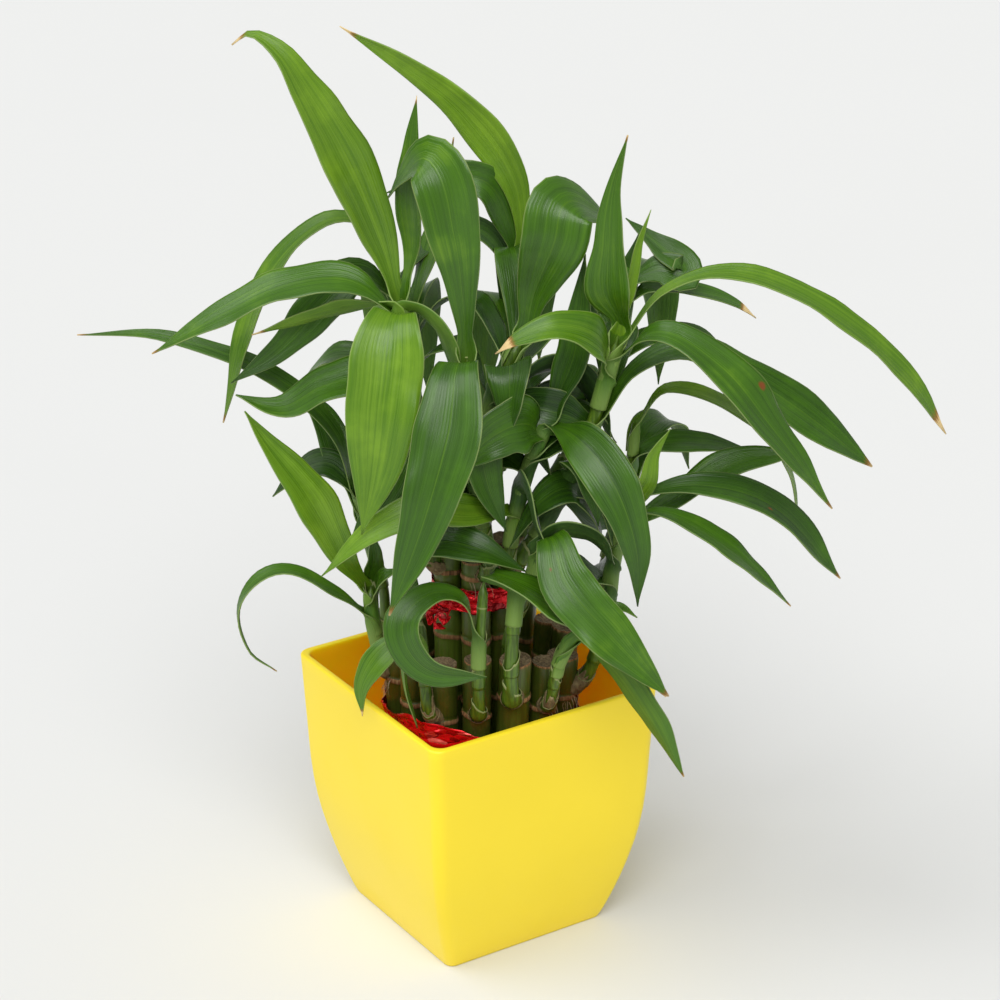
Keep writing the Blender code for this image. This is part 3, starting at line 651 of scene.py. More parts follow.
@made_once
def leaf_finish(name, colours, foot, gloss, vein_depth):
    """Leaf skin: tone by leaf, streaks, short pale streaks of painted highlight, midrib, pale
    margin, pale sheath and dry tip.
    """
    made, tree, shader, place = surface(name)
    blade_map = node(tree, "ShaderNodeUVMap", uv_map="blade").outputs[0]
    tone = attribute(tree, "tone")
    marks = use_group(tree, blade_group(), {"Map": blade_map, "Dry": attribute(tree, "dry"),
                                            "Blemish": attribute(tree, "blemish", "Vector")})
    own = vectors(tree, "SCALE", LEAF_PATTERN_SHIFT, tone)
    turned = node(tree, "ShaderNodeMapping", {"Vector": blade_map, "Location": own,
                                              "Rotation": (radians(90), 0.0, 0.0)})
    fine, broad, painted_highlight_streaks = (
        use_group(tree, fibre_group(), {"Vector": turned.outputs[0], "Across": across,
                                        "Along": along, "Low": low, "High": high})
        for across, along, low, high in LEAF_STREAKS)
    patches = use_group(tree, mottle_group(), {"Vector": place, "Scale": 48.0})
    # The short pale streaks lighten the leaf as painted highlights; the tone carries painted
    # light and shade as well as the leaf's own green
    level = total(tree, maths(tree, "MULTIPLY", tone, 0.72),
                  (fine["Mask"], 0.08), (broad["Mask"], 0.19), (patches["Mask"], 0.15),
                  (marks["Vein"], 0.015), (painted_highlight_streaks["Mask"], 0.08))
    dark, middle, pale = colours
    colour = ramp(tree, level, ((0.05, dark), (0.5, middle), (1.0, pale)))
    colour = blend(tree, marks["Foot"], colour, foot, share=0.75)
    colour = blend(tree, marks["Midrib"], colour, pale, share=0.14)
    colour = blend(tree, marks["Margin"], colour, MARGIN_COLOUR, share=0.45)
    colour = blend(tree, marks["Blemish"], colour, BLEMISH_COLOUR)
    dead = blend(tree, marks["Crisp"], DRY_COLOUR, CRISP_COLOUR)
    colour = blend(tree, marks["Dry"], colour, dead)
    paint(tree, shader, colour, total(tree, gloss, (patches["Height"], 0.12),
                                      (marks["Dry"], 0.3), (fine["Mask"], 0.10)))
    shader.inputs["Specular IOR Level"].default_value = 0.38
    height = total(tree, maths(tree, "MULTIPLY", marks["Vein"], 0.35), (fine["Height"], 1.2),
                   (broad["Height"], 4.0))
    relief(tree, shader, height, vein_depth)
    return made


def lift(colour, by):
    """A colour with a little of another added to it."""
    return tuple(map(sum, zip(colour, by)))


def leaf_finishes():
    """The glossy upper skin of the leaves, and the paler, duller skin underneath."""
    blade = tuple(bpy.context.scene.bamboo_leaves.blade)
    dark = (blade[0] * 0.22, blade[1] * 0.26, blade[2] * 1.8)
    pale = (blade[0] * 4.2, blade[1] * 2.7, blade[2] * 5.0)
    upper = leaf_finish("leaf_upper_skin", (dark, blade, pale), foot=(0.14, 0.26, 0.035),
                        gloss=0.20, vein_depth=0.06 * MM)
    dull = (lift(shade(dark, 1.3), (0.008, 0.011, 0.006)),
            lift(shade(blade, 1.1), (0.014, 0.018, 0.010)), lift(pale, (0.01, 0.01, 0.01)))
    under = leaf_finish("leaf_under_skin", dull, foot=(0.22, 0.34, 0.070), gloss=0.46,
                        vein_depth=0.08 * MM)
    return upper, under


@made_once
def stalk_finish(name):
    """Stalk skin: green with fine fibres and brown scars at the nodes."""
    skin = tuple(bpy.context.scene.bamboo_stalks.skin)
    made, tree, shader, place = surface(name)
    strands = use_group(tree, fibre_group(), {"Vector": place, "Across": 900.0, "Along": 45.0})
    patches = use_group(tree, mottle_group(), {"Vector": place, "Scale": 140.0, "Low": 0.5})
    specks = use_group(tree, mottle_group(), {"Vector": place, "Scale": 900.0, "Low": 0.62,
                                              "High": 0.68})
    level = total(tree, maths(tree, "MULTIPLY", attribute(tree, "tone"), 0.7),
                  (strands["Mask"], 0.22))
    colour = ramp(tree, level, ((0.0, shade(skin, 0.45)), (0.5, skin),
                                (1.0, (skin[0] * 2.0, skin[1] * 2.3, skin[2] * 2.4))))
    colour = blend(tree, patches["Mask"], colour, STALK_PATCH, share=0.45)
    colour = blend(tree, specks["Mask"], colour, STALK_SPECK, share=0.35)
    edge = remap(tree, total(tree, attribute(tree, "scar"), (strands["Height"], 0.3)), 0.45,
                 0.75)
    colour = blend(tree, edge, colour, ramp(tree, strands["Height"], BARK_COLOURS))
    paint(tree, shader, colour, remap(tree, edge, 0.0, 1.0, 0.36, 0.85))
    relief(tree, shader, total(tree, strands["Height"], (edge, 0.7)), 0.12 * MM)
    return made


@made_once
def plain_wood_finish(name, dark, pale, roughness, across, depth):
    """Dry plant matter: two tones of fibre."""
    made, tree, shader, place = surface(name)
    strands = use_group(tree, fibre_group(), {"Vector": place, "Across": across,
                                              "Along": across * 0.35, "Low": 0.3,
                                              "High": 0.7})
    patches = use_group(tree, mottle_group(), {"Vector": place, "Scale": 330.0})
    level = total(tree, maths(tree, "MULTIPLY", strands["Mask"], 0.6),
                  (patches["Mask"], 0.4))
    tree.links.new(ramp(tree, level, ((0.0, dark), (1.0, pale))), shader.inputs["Base Color"])
    shader.inputs["Roughness"].default_value = roughness
    relief(tree, shader, strands["Height"], depth)
    return made


@made_once
def shoot_finish(name):
    """Shoot skin: pale green, striped along, with a tan line at each leaf scar."""
    made, tree, shader, place = surface(name)
    strands = use_group(tree, fibre_group(), {"Vector": place, "Across": 1100.0,
                                              "Along": 70.0})
    patches = use_group(tree, mottle_group(), {"Vector": place, "Scale": 90.0})
    level = total(tree, maths(tree, "MULTIPLY", strands["Mask"], 0.55),
                  (patches["Mask"], 0.35))
    line = remap(tree, total(tree, attribute(tree, "scar"), (strands["Height"], 0.35)), 0.75,
                 1.1)
    colour = blend(tree, line, ramp(tree, level, SHOOT_COLOURS), SHOOT_SCAR, share=0.6)
    paint(tree, shader, colour, remap(tree, line, 0.0, 1.0, 0.36, 0.6))
    relief(tree, shader, strands["Height"], 0.08 * MM)
    return made


@made_once
def foil_finish(name):
    """Crumpled metallised foil: facets in relief, each with its own gloss and a painted tone:
    dark facets are painted shade, pale pink ones painted highlights.
    """
    foil = tuple(bpy.context.scene.bamboo_ties.foil)
    made, tree, shader, place = surface(name)
    flat = vectors(tree, "MULTIPLY", place, FOIL_STRETCH)
    bent = node(tree, "ShaderNodeTexNoise", {"Vector": flat, "Scale": 90.0})
    moved = vectors(tree, "MULTIPLY_ADD", bent.outputs["Color"], (FOIL_WARP,) * 3, flat)
    facets = node(tree, "ShaderNodeTexVoronoi", {"Vector": moved, "Scale": 190.0})
    lit = node(tree, "ShaderNodeSeparateXYZ", {0: facets.outputs["Color"]})
    # Painted light: each facet's random value picks its colour, from dark red painted shade
    # through the foil's red to a pale pink painted highlight
    colour = ramp(tree, lit.outputs[0], ((0.0, shade(foil, 0.22)), (0.35, foil),
                                         (0.86, foil), (1.0, FOIL_GLINT)))
    paint(tree, shader, colour, remap(tree, lit.outputs[1], 0.0, 1.0, 0.10, 0.28))
    shader.inputs["Metallic"].default_value = 0.55
    tilt = vectors(tree, "DOT_PRODUCT", facets.outputs["Color"], moved)
    relief(tree, shader, maths(tree, "SUBTRACT", maths(tree, "MULTIPLY", tilt, 9.0),
                               facets.outputs["Distance"]), 1.2 * MM)
    return made


@made_once
def pot_finish(name, painted_glow_tint, glow):
    """Satin moulded plastic with a faint grain; glow lets light through from outside. The tint
    turns the colour, and on the inner wall it is painted glow: orange that stands in for light
    coming through the wall.
    """
    colour = tuple(a * b for a, b in zip(bpy.context.scene.bamboo_pot.colour, painted_glow_tint))
    made, tree, shader, place = surface(name)
    clouds = use_group(tree, mottle_group(), {"Vector": place, "Scale": 26.0, "Low": 0.35,
                                              "High": 0.75})
    scuffs = use_group(tree, fibre_group(), {"Vector": place, "Across": 260.0, "Along": 60.0,
                                             "Low": 0.58, "High": 0.72})
    grain = use_group(tree, mottle_group(), {"Vector": place, "Scale": 1500.0})
    height_of = node(tree, "ShaderNodeSeparateXYZ", {0: place})
    foot = remap(tree, height_of.outputs[2], 0.0, 0.020, 1.0, 0.0)
    tint = blend(tree, clouds["Mask"], colour, shade(colour, 0.955), share=0.35)
    low_scuffs = maths(tree, "MULTIPLY", scuffs["Mask"], foot)
    tint = blend(tree, low_scuffs, tint, shade(colour, 0.75), share=0.18)
    paint(tree, shader, tint, remap(tree, clouds["Mask"], 0.0, 1.0, 0.36, 0.44))
    shader.inputs["Specular IOR Level"].default_value = 0.4
    if glow:
        shader.inputs["Subsurface Weight"].default_value = glow
        shader.inputs["Subsurface Radius"].default_value = POT_GLOW_REACH
        shader.inputs["Subsurface Scale"].default_value = POT_GLOW_DEPTH
    relief(tree, shader, grain["Height"], 0.02 * MM, 0.6)
    return made


@made_once
def floor_finish(name):
    """Pale matt floor, very faintly mottled."""
    colour = tuple(bpy.context.scene.bamboo_stage.floor)
    made, tree, shader, place = surface(name)
    patches = use_group(tree, mottle_group(), {"Vector": place, "Scale": 3.0})
    tint = blend(tree, patches["Mask"], colour, shade(colour, 0.99), share=0.5)
    tree.links.new(tint, shader.inputs["Base Color"])
    shader.inputs["Roughness"].default_value = 0.9
    shader.inputs["Specular IOR Level"].default_value = 0.1
    return made


# Geometry helpers

def plant_point(x, y, z):
    """A point of the plant's own frame, in metres of the part's frame."""
    return Matrix.Rotation(PLANT_TURN, 3, "Z") @ Vector((x, y, z))


def plant_mm(point):
    """The same from millimetres."""
    return plant_point(point[0] * MM, point[1] * MM, point[2] * MM)


def from_front(angle):
    """Unit vector away from the plant's axis, measured round from its front."""
    return plant_point(sin(angle), -cos(angle), 0.0)


def ease(value):
    """A rise from 0 to 1 that starts and ends gently."""
    value = min(max(value, 0.0), 1.0)
    return value * value * (3 - 2 * value)


def even_shares(count):
    """Shares from 0 to 1 in even steps."""
    return [i / (count - 1) for i in range(count)]


BEND_STEPS = 16                     # straight pieces between two given points of a route


def smooth_route(points, shares):
    """Points on one smooth curve through the given points, and the curve's length."""
    last = len(points) - 1
    slopes = [(points[min(i + 1, last)] - points[max(i - 1, 0)]).normalized()
              for i in range(last + 1)]
    dense = [points[0]]
    for i in range(last):
        reach = (points[i + 1] - points[i]).length / 3
        handle_a = points[i] + slopes[i] * reach
        handle_b = points[i + 1] - slopes[i + 1] * reach
        dense += interpolate_bezier(points[i], handle_a, handle_b, points[i + 1],
                                    BEND_STEPS + 1)[1:]
    lengths = [0.0]
    for a, b in zip(dense, dense[1:]):
        lengths.append(lengths[-1] + (b - a).length)
    chosen = []
    for share in shares:
        want = lengths[-1] * share
        i = next((k for k in range(1, len(lengths)) if lengths[k] >= want), len(lengths) - 1)
        part = (want - lengths[i - 1]) / (lengths[i] - lengths[i - 1])
        chosen.append(dense[i - 1].lerp(dense[i], min(part, 1.0)))
    return chosen, lengths[-1]


def finish_piece(name, mesh, finishes, nodes=()):
    """Links the piece, gives it its finishes and ties it to the frame."""
    if not mesh.polygons:
        raise RuntimeError(f"{name} came out with no faces")
    made = bpy.data.objects.new(name, mesh)
    bpy.context.scene.collection.objects.link(made)
    if not mesh.materials:
        for finish in finishes:
            mesh.materials.append(finish)
    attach(made, "root")
    if nodes:
        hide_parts(*nodes)
    return made


def plain_mesh(bm, name):
    """A mesh of what was built."""
    mesh = bpy.data.meshes.new(name)
    bm.to_mesh(mesh)
    bm.free()
    return mesh


def smooth_mesh(bm, name, sharp=radians(50)):
    """A smooth-shaded mesh, with edges sharper than the angle kept sharp."""
    mesh = plain_mesh(bm, name)
    mesh.shade_smooth()
    mesh.set_sharp_from_angle(angle=sharp)
    return mesh


def thicken(made, thickness, offset=0.0):
    """Gives a thin sheet its wall, on both sides of it unless the offset says otherwise."""
    wall = made.modifiers.new("wall", "SOLIDIFY")
    wall.thickness = thickness
    wall.offset = offset
    return wall


def bridge_rows(bm, low, high, closed=True):
    """Quads between two rows of vertices."""
    count = len(low) if closed else len(low) - 1
    made = []
    for i in range(count):
        j = (i + 1) % len(low)
        made.append(bm.faces.new((low[i], low[j], high[j], high[i])))
    return made


# Stalks and shoots

def stalk_lines():
    """Every stalk of the frame: name, radius, foot, top and height of its top node."""
    sizes = bpy.context.scene.bamboo_stalks
    floor = POT_FLOOR + GAP
    lines = []
    for i in range(INNER_ROUND + 1):
        middle = i == INNER_ROUND
        spot = from_front(2 * pi * i / INNER_ROUND) * (0.0 if middle else INNER_RING)
        top = (MIDDLE_TOP if middle else INNER_TOP) * MM
        upper_node = (MIDDLE_NODE if middle else INNER_NODE) * MM
        lines.append((f"inner_{i + 1}", sizes.inner_radius, spot + Vector((0, 0, floor)),
                      spot + Vector((0, 0, top)), upper_node))
    radii = (sizes.thin_radius, sizes.thick_radius)
    for i in range(OUTER_COUNT):
        angle = OUTER_START + i * 2 * pi / OUTER_COUNT
        foot = from_front(angle) * OUTER_RING_FOOT + Vector((0, 0, floor + GAP))
        high = (from_front(angle) * OUTER_RING_TOP + plant_point(OUTER_SHIFT, 0, 0)
                + Vector((0, 0, OUTER_REF)))
        share = (OUTER_TOPS[i] * MM - foot.z) / (high.z - foot.z)
        lines.append((f"outer_{i + 1:02d}", radii[i % 2], foot, foot.lerp(high, share),
                      OUTER_NODES[i] * MM))
    return lines


ROUTE_POINTS = 40


def shoot_routes():
    """Each shoot's even points and radii."""
    shares = even_shares(ROUTE_POINTS)
    routes = {}
    for name, radius, foot, top, upper_node in stalk_lines():
        start = foot.lerp(top, (upper_node - foot.z) / (top.z - foot.z))
        for shoot, (owner, foot_mm, tip_mm, via) in SHOOTS.items():
            if owner == name:
                points, _ = smooth_route([start] + [plant_mm(p) for p in via], shares)
                radii = [(foot_mm + (tip_mm - foot_mm) * share) * MM for share in shares]
                routes[shoot] = (points, radii)
    return routes


def at_height(route, height):
    """Point, direction and radius where a shoot passes a height."""
    points, radii = route
    for i, (a, b) in enumerate(zip(points, points[1:])):
        if a.z <= height <= b.z:
            share = (height - a.z) / (b.z - a.z)
            return a.lerp(b, share), (b - a).normalized(), radii[i]
    if height < points[0].z:
        return points[0], (points[1] - points[0]).normalized(), radii[0]
    return points[-1], (points[-1] - points[-2]).normalized(), radii[-1]


STALK_SIDES = 36
STALK_STEP = 3.0 * MM               # between rows of skin, and close to a node
NODE_STEP = 0.55 * MM
LEAST_STEP = 0.2 * MM
SCAR_DIP = 1.9 * MM                 # depth of the V in a leaf scar
RING_WIDTH = 1.1 * MM               # the raised ring at a node
GROOVE_ABOVE = 1.7 * MM             # the groove over it, and its width
GROOVE_WIDTH = 0.7 * MM
SCAR_WIDTH = 1.0 * MM
SCAR_WANDER = 0.5 * MM
TOP_ROUNDING = 0.7 * MM             # length of the rounded edge at the cut, and its depth
TOP_CUT_BACK = 0.25 * MM
TOP_RAGGED = 4.0 * MM               # length over which the top turns aslant
CUT_RINGS = ((0.90, 0.15), (0.72, 0.75), (0.45, 0.95), (0.2, 0.85))  # reach, depth in mm


def add_stalk(bm, radius, foot, top, upper_node, layers, dice):
    """One cut stalk: a waisted barrel with node rings, V-shaped scars and a rough top."""
    scar_layer, tone_layer = layers
    swell = bpy.context.scene.bamboo_stalks.node_swell
    axis = top - foot
    length = axis.length
    turn = axis.to_track_quat("Z", "Y").to_matrix()
    nodes = [upper_node - foot.z - i * NODE_SPACING for i in range(NODES_PER_STALK)]
    tone = dice.uniform(0.2, 0.6) + (0.35 if top.z > 0.13 else 0.0)
    bud = dice.uniform(0, 2 * pi)
    offset = Vector((dice.uniform(-50, 50), dice.uniform(-50, 50), 0))
    heights = {0.0, length}
    step = 0.0
    while step < length:
        heights.add(step)
        step += STALK_STEP
    for level in nodes:
        heights.update(level + k * NODE_STEP for k in range(-6, 8))
    heights = sorted(h for h in heights if 0.0 <= h <= length)
    heights = [h for i, h in enumerate(heights)
               if i == 0 or h - heights[i - 1] > LEAST_STEP or h == length]
    slope = tan(radians(dice.uniform(2, 7)))
    lean = dice.uniform(0, 2 * pi)
    rows = []
    for height in heights:
        row = []
        for i in range(STALK_SIDES):
            angle = 2 * pi * i / STALK_SIDES
            away = abs((angle - bud + pi) % (2 * pi) - pi) / pi
            ring = scar = 0.0
            for k, level in enumerate(nodes):
                flip = away if k % 2 == 0 else 1 - away
                drop = SCAR_DIP * max(0.0, 1 - flip * 2.6)
                gap = height - (level - drop)
                ring += exp(-(gap / RING_WIDTH) ** 2)
                ring -= 0.55 * exp(-((gap - GROOVE_ABOVE) / GROOVE_WIDTH) ** 2)
                wander = SCAR_WANDER * noise.noise(Vector((angle * 3, level * 900, 3)) + offset)
                scar = max(scar, exp(-((gap + wander) / SCAR_WIDTH) ** 2))
            rough = noise.noise(Vector((cos(angle) * 2, sin(angle) * 2, height * 260)) + offset)
            reach = radius * (0.985 + 0.012 * rough) + swell * ring
            lift = 0.0
            if height > length - TOP_ROUNDING:
                reach -= TOP_CUT_BACK
            if height > length - TOP_RAGGED:
                share = (height - length + TOP_RAGGED) / TOP_RAGGED
                lift = -share * reach * slope * (1 + cos(angle - lean))
                lift += share * 0.35 * MM * noise.noise(Vector((angle * 4, 7, 1)) + offset)
                scar = max(scar, 0.75 * ease((share - 0.55) / 0.45))
            place = foot + turn @ Vector((reach * cos(angle), reach * sin(angle),
                                          height + lift))
            vert = bm.verts.new(place)
            vert[scar_layer] = scar
            vert[tone_layer] = tone
            row.append(vert)
        rows.append(row)
    for low, high in zip(rows, rows[1:]):
        bridge_rows(bm, low, high)
    bm.faces.new(list(reversed(rows[0])))
    rim = rows[-1]
    centre = top - turn @ Vector((0, 0, slope * radius))
    for share, sink in CUT_RINGS:
        ring = []
        for i, edge in enumerate(rim):
            angle = 2 * pi * i / STALK_SIDES
            ragged = noise.noise(Vector((cos(angle) * share * 5, sin(angle) * share * 5, 9))
                                 + offset)
            spot = centre.lerp(edge.co, share)
            spot += turn @ Vector((0, 0, (-sink + 0.4 * ragged) * MM))
            vert = bm.verts.new(spot)
            vert[scar_layer] = 1.0
            vert[tone_layer] = tone
            ring.append(vert)
        for face in bridge_rows(bm, rows[-1], ring):
            face.material_index = 1
        rows.append(ring)
    cap = bm.faces.new(rows[-1])
    cap.material_index = 1


def build_stalks(name, wanted, seed):
    """All stalks of one tier as one piece."""
    bm = bmesh.new()
    layers = (bm.verts.layers.float.new("scar"), bm.verts.layers.float.new("tone"))
    dice = random.Random(seed)
    nodes = []
    for stalk, radius, foot, top, upper_node in stalk_lines():
        if stalk.startswith(wanted):
            add_stalk(bm, radius, foot, top, upper_node, layers, dice)
            nodes.append("cane_" + stalk)
    mesh = smooth_mesh(bm, name, radians(60))
    cut = plain_wood_finish("stalk_cut_end", (0.10, 0.065, 0.030), (0.42, 0.31, 0.17), 0.85,
                            1300.0, 0.35 * MM)
    finish_piece(name, mesh, (stalk_finish("stalk_skin"), cut), nodes)


def group_input(tree, label, kind, default=None):
    """A named input of a geometry node tree; returns the key a modifier sets it by."""
    made = tree.interface.new_socket(label, in_out="INPUT", socket_type=kind)
    if default is not None:
        made.default_value = default
    return made.identifier


def ringed_stem_tree():
    """Geometry nodes: a tube along each curve, with raised leaf-scar rings at a spacing."""
    tree = bpy.data.node_groups.new("Ringed Stem", "GeometryNodeTree")
    tree.interface.new_socket("Geometry", in_out="INPUT", socket_type="NodeSocketGeometry")
    keys = {
        "spacing": group_input(tree, "Ring Spacing", FLOAT, 7.0 * MM),
        "swell": group_input(tree, "Ring Swell", FLOAT, 0.22 * MM),
        "width": group_input(tree, "Ring Width", FLOAT, 1.1 * MM),
        "step": group_input(tree, "Step", FLOAT, 0.6 * MM),
        "sides": group_input(tree, "Sides", "NodeSocketInt", 16),
        "finish": group_input(tree, "Finish", "NodeSocketMaterial"),
    }
    tree.interface.new_socket("Geometry", in_out="OUTPUT", socket_type="NodeSocketGeometry")
    start = tree.nodes.new("NodeGroupInput").outputs
    end = tree.nodes.new("NodeGroupOutput")
    even = node(tree, "GeometryNodeResampleCurve", {"Curve": start["Geometry"],
                                                    "Length": start["Step"]}, mode="LENGTH")
    girth = node(tree, "GeometryNodeInputRadius")
    length = node(tree, "GeometryNodeSplineParameter")
    wave = maths(tree, "FLOORED_MODULO", length.outputs["Length"], start["Ring Spacing"])
    middle = maths(tree, "MULTIPLY", start["Ring Spacing"], 0.5)
    gap = maths(tree, "ABSOLUTE", maths(tree, "SUBTRACT", wave, middle))
    ring = remap(tree, gap, 0.0, start["Ring Width"], 1.0, 0.0)
    marked = node(tree, "GeometryNodeStoreNamedAttribute",
                  {"Geometry": even.outputs[0], "Name": "scar", "Value": ring},
                  data_type="FLOAT", domain="POINT")
    held = node(tree, "GeometryNodeStoreNamedAttribute",
                {"Geometry": marked.outputs[0], "Name": "girth", "Value": girth.outputs[0]},
                data_type="FLOAT", domain="POINT")
    unit = node(tree, "GeometryNodeSetCurveRadius", {"Curve": held.outputs[0], "Radius": 1.0})
    kept = node(tree, "GeometryNodeInputNamedAttribute", {"Name": "girth"},
                data_type="FLOAT")
    mark = node(tree, "GeometryNodeInputNamedAttribute", {"Name": "scar"},
                data_type="FLOAT")
    size = maths(tree, "ADD", kept.outputs[0],
                 maths(tree, "MULTIPLY", mark.outputs[0], start["Ring Swell"]))
    circle = node(tree, "GeometryNodeCurvePrimitiveCircle", {"Resolution": start["Sides"],
                                                             "Radius": 1.0})
    tube = node(tree, "GeometryNodeCurveToMesh", {"Curve": unit.outputs[0],
                                                  "Profile Curve": circle.outputs[0],
                                                  "Scale": size, "Fill Caps": True})
    soft = node(tree, "GeometryNodeSetShadeSmooth", {"Geometry": tube.outputs[0]})
    real = node(tree, "GeometryNodeRealizeInstances", {"Geometry": soft.outputs[0]})
    painted = node(tree, "GeometryNodeSetMaterial", {"Geometry": real.outputs[0],
                                                     "Material": start["Finish"]})
    tree.links.new(painted.outputs[0], end.inputs[0])
    return tree, keys


def bake_nodes(guide, tree, keys, values, name):
    """Runs a geometry node tree on a guide object and returns the result as a mesh."""
    bpy.context.scene.collection.objects.link(guide)
    grown = guide.modifiers.new(tree.name, "NODES")
    grown.node_group = tree
    for key, value in values.items():
        grown[keys[key]] = value
    bpy.context.view_layer.update()
    seen = guide.evaluated_get(bpy.context.evaluated_depsgraph_get())
    mesh = bpy.data.meshes.new_from_object(seen)
    if not mesh.polygons:
        raise RuntimeError(f"{tree.name} made no faces for {name}")
    mesh.name = name
    guide.modifiers.remove(grown)
    bpy.data.objects.remove(guide, do_unlink=True)
    return mesh


FOOT_SWELL = 0.4                    # how much thicker a shoot is at its foot
SWELL_LENGTH = 5.0 * MM             # length of the thick foot, and of its fall to the stem
SWELL_FALL = 6.0 * MM
TIP_CLOSES = 0.92                   # share of a shoot's length at which it narrows to its bud
TIP_NARROWS = 0.8


def foot_swell(run):
    """Thickness of a shoot at a distance from its foot, against its usual one."""
    return 1 + FOOT_SWELL * exp(-(max(run - SWELL_LENGTH, 0) / SWELL_FALL) ** 2)


def build_shoots():
    """All shoots as one piece, swept along their routes."""
    stalks = bpy.context.scene.bamboo_stalks
    curve = bpy.data.curves.new("shoot_guides", "CURVE")
    curve.dimensions = "3D"
    for points, radii in shoot_routes().values():
        spline = curve.splines.new("POLY")
        spline.points.add(len(points) - 1)
        run = 0.0
        for i, (point, place, radius) in enumerate(zip(spline.points, points, radii)):
            run += (place - points[max(i - 1, 0)]).length
            point.co = (*place, 1.0)
            point.radius = radius * foot_swell(run)
            share = i / (len(points) - 1)
            point.radius *= 1 - TIP_NARROWS * ease((share - TIP_CLOSES) / 0.08)
    guide = bpy.data.objects.new("shoot_guides", curve)
    tree, keys = ringed_stem_tree()
    mesh = bake_nodes(guide, tree, keys, {
        "spacing": stalks.ring_spacing, "swell": 0.16 * MM, "width": 0.9 * MM,
        "step": 0.55 * MM, "sides": 18, "finish": shoot_finish("shoot_skin")}, "shoots")
    bm = bmesh.new()
    bm.from_mesh(mesh)
    bmesh.ops.remove_doubles(bm, verts=bm.verts, dist=0.01 * MM)
    bmesh.ops.recalc_face_normals(bm, faces=bm.faces)
    bm.to_mesh(mesh)
    bm.free()
    finish_piece("shoots", mesh, ())


SHEATH_SIDES = 24
SHEATH_ROWS = 9
SHEATH_CLEARANCE = 0.14 * MM        # from the shoot's skin, and how far the top flares
SHEATH_FLARE = 0.25 * MM


def add_sheath(bm, route, first, height, scale, heading, ragged, layer):
    """A tube round a shoot, cut off aslant, its upper edge marked."""
    points, radii = route
    step = (points[1] - points[0]).length
    along = (points[first + 1] - points[first]).normalized()
    side = along.orthogonal().normalized()
    over = along.cross(side)
    rows = []
    for share in even_shares(SHEATH_ROWS):
        row = []
        for i in range(SHEATH_SIDES):
            angle = 2 * pi * i / SHEATH_SIDES
            stray = noise.noise(Vector((cos(angle) * 3, sin(angle) * 3, heading * 9 + first)))
            high = height * (0.66 + 0.34 * cos(angle - heading) + ragged * stray)
            near = first + high * share / step
            k = min(int(near), len(points) - 2)
            spot = points[k].lerp(points[k + 1], near - k)
            reach = radii[k] * foot_swell(near * step) * scale
            reach += SHEATH_CLEARANCE + SHEATH_FLARE * share ** 3
            vert = bm.verts.new(spot + (side * cos(angle) + over * sin(angle)) * reach)
            vert[layer] = 1.6 * ease((share - 0.72) / 0.28)
            row.append(vert)
        rows.append(row)
    for low, high in zip(rows, rows[1:]):
        bridge_rows(bm, low, high)


def build_sheaths(name, finish, starts, heights, ragged, seed, only=tuple(SHOOTS)):
    """Sheaths round the shoots, from the given distances along them in millimetres."""
    bm = bmesh.new()
    layer = bm.verts.layers.float.new("scar")
    dice = random.Random(seed)
    for shoot, route in shoot_routes().items():
        if shoot not in only:
            continue
        step = (route[0][1] - route[0][0]).length
        for start in starts:
            first = min(int(start * MM / step), len(route[0]) - 8)
            add_sheath(bm, route, first, dice.uniform(*heights) * MM,
                       dice.uniform(1.02, 1.07), dice.uniform(0, 2 * pi), ragged, layer)
    thicken(finish_piece(name, smooth_mesh(bm, name), (finish,)), 0.2 * MM)


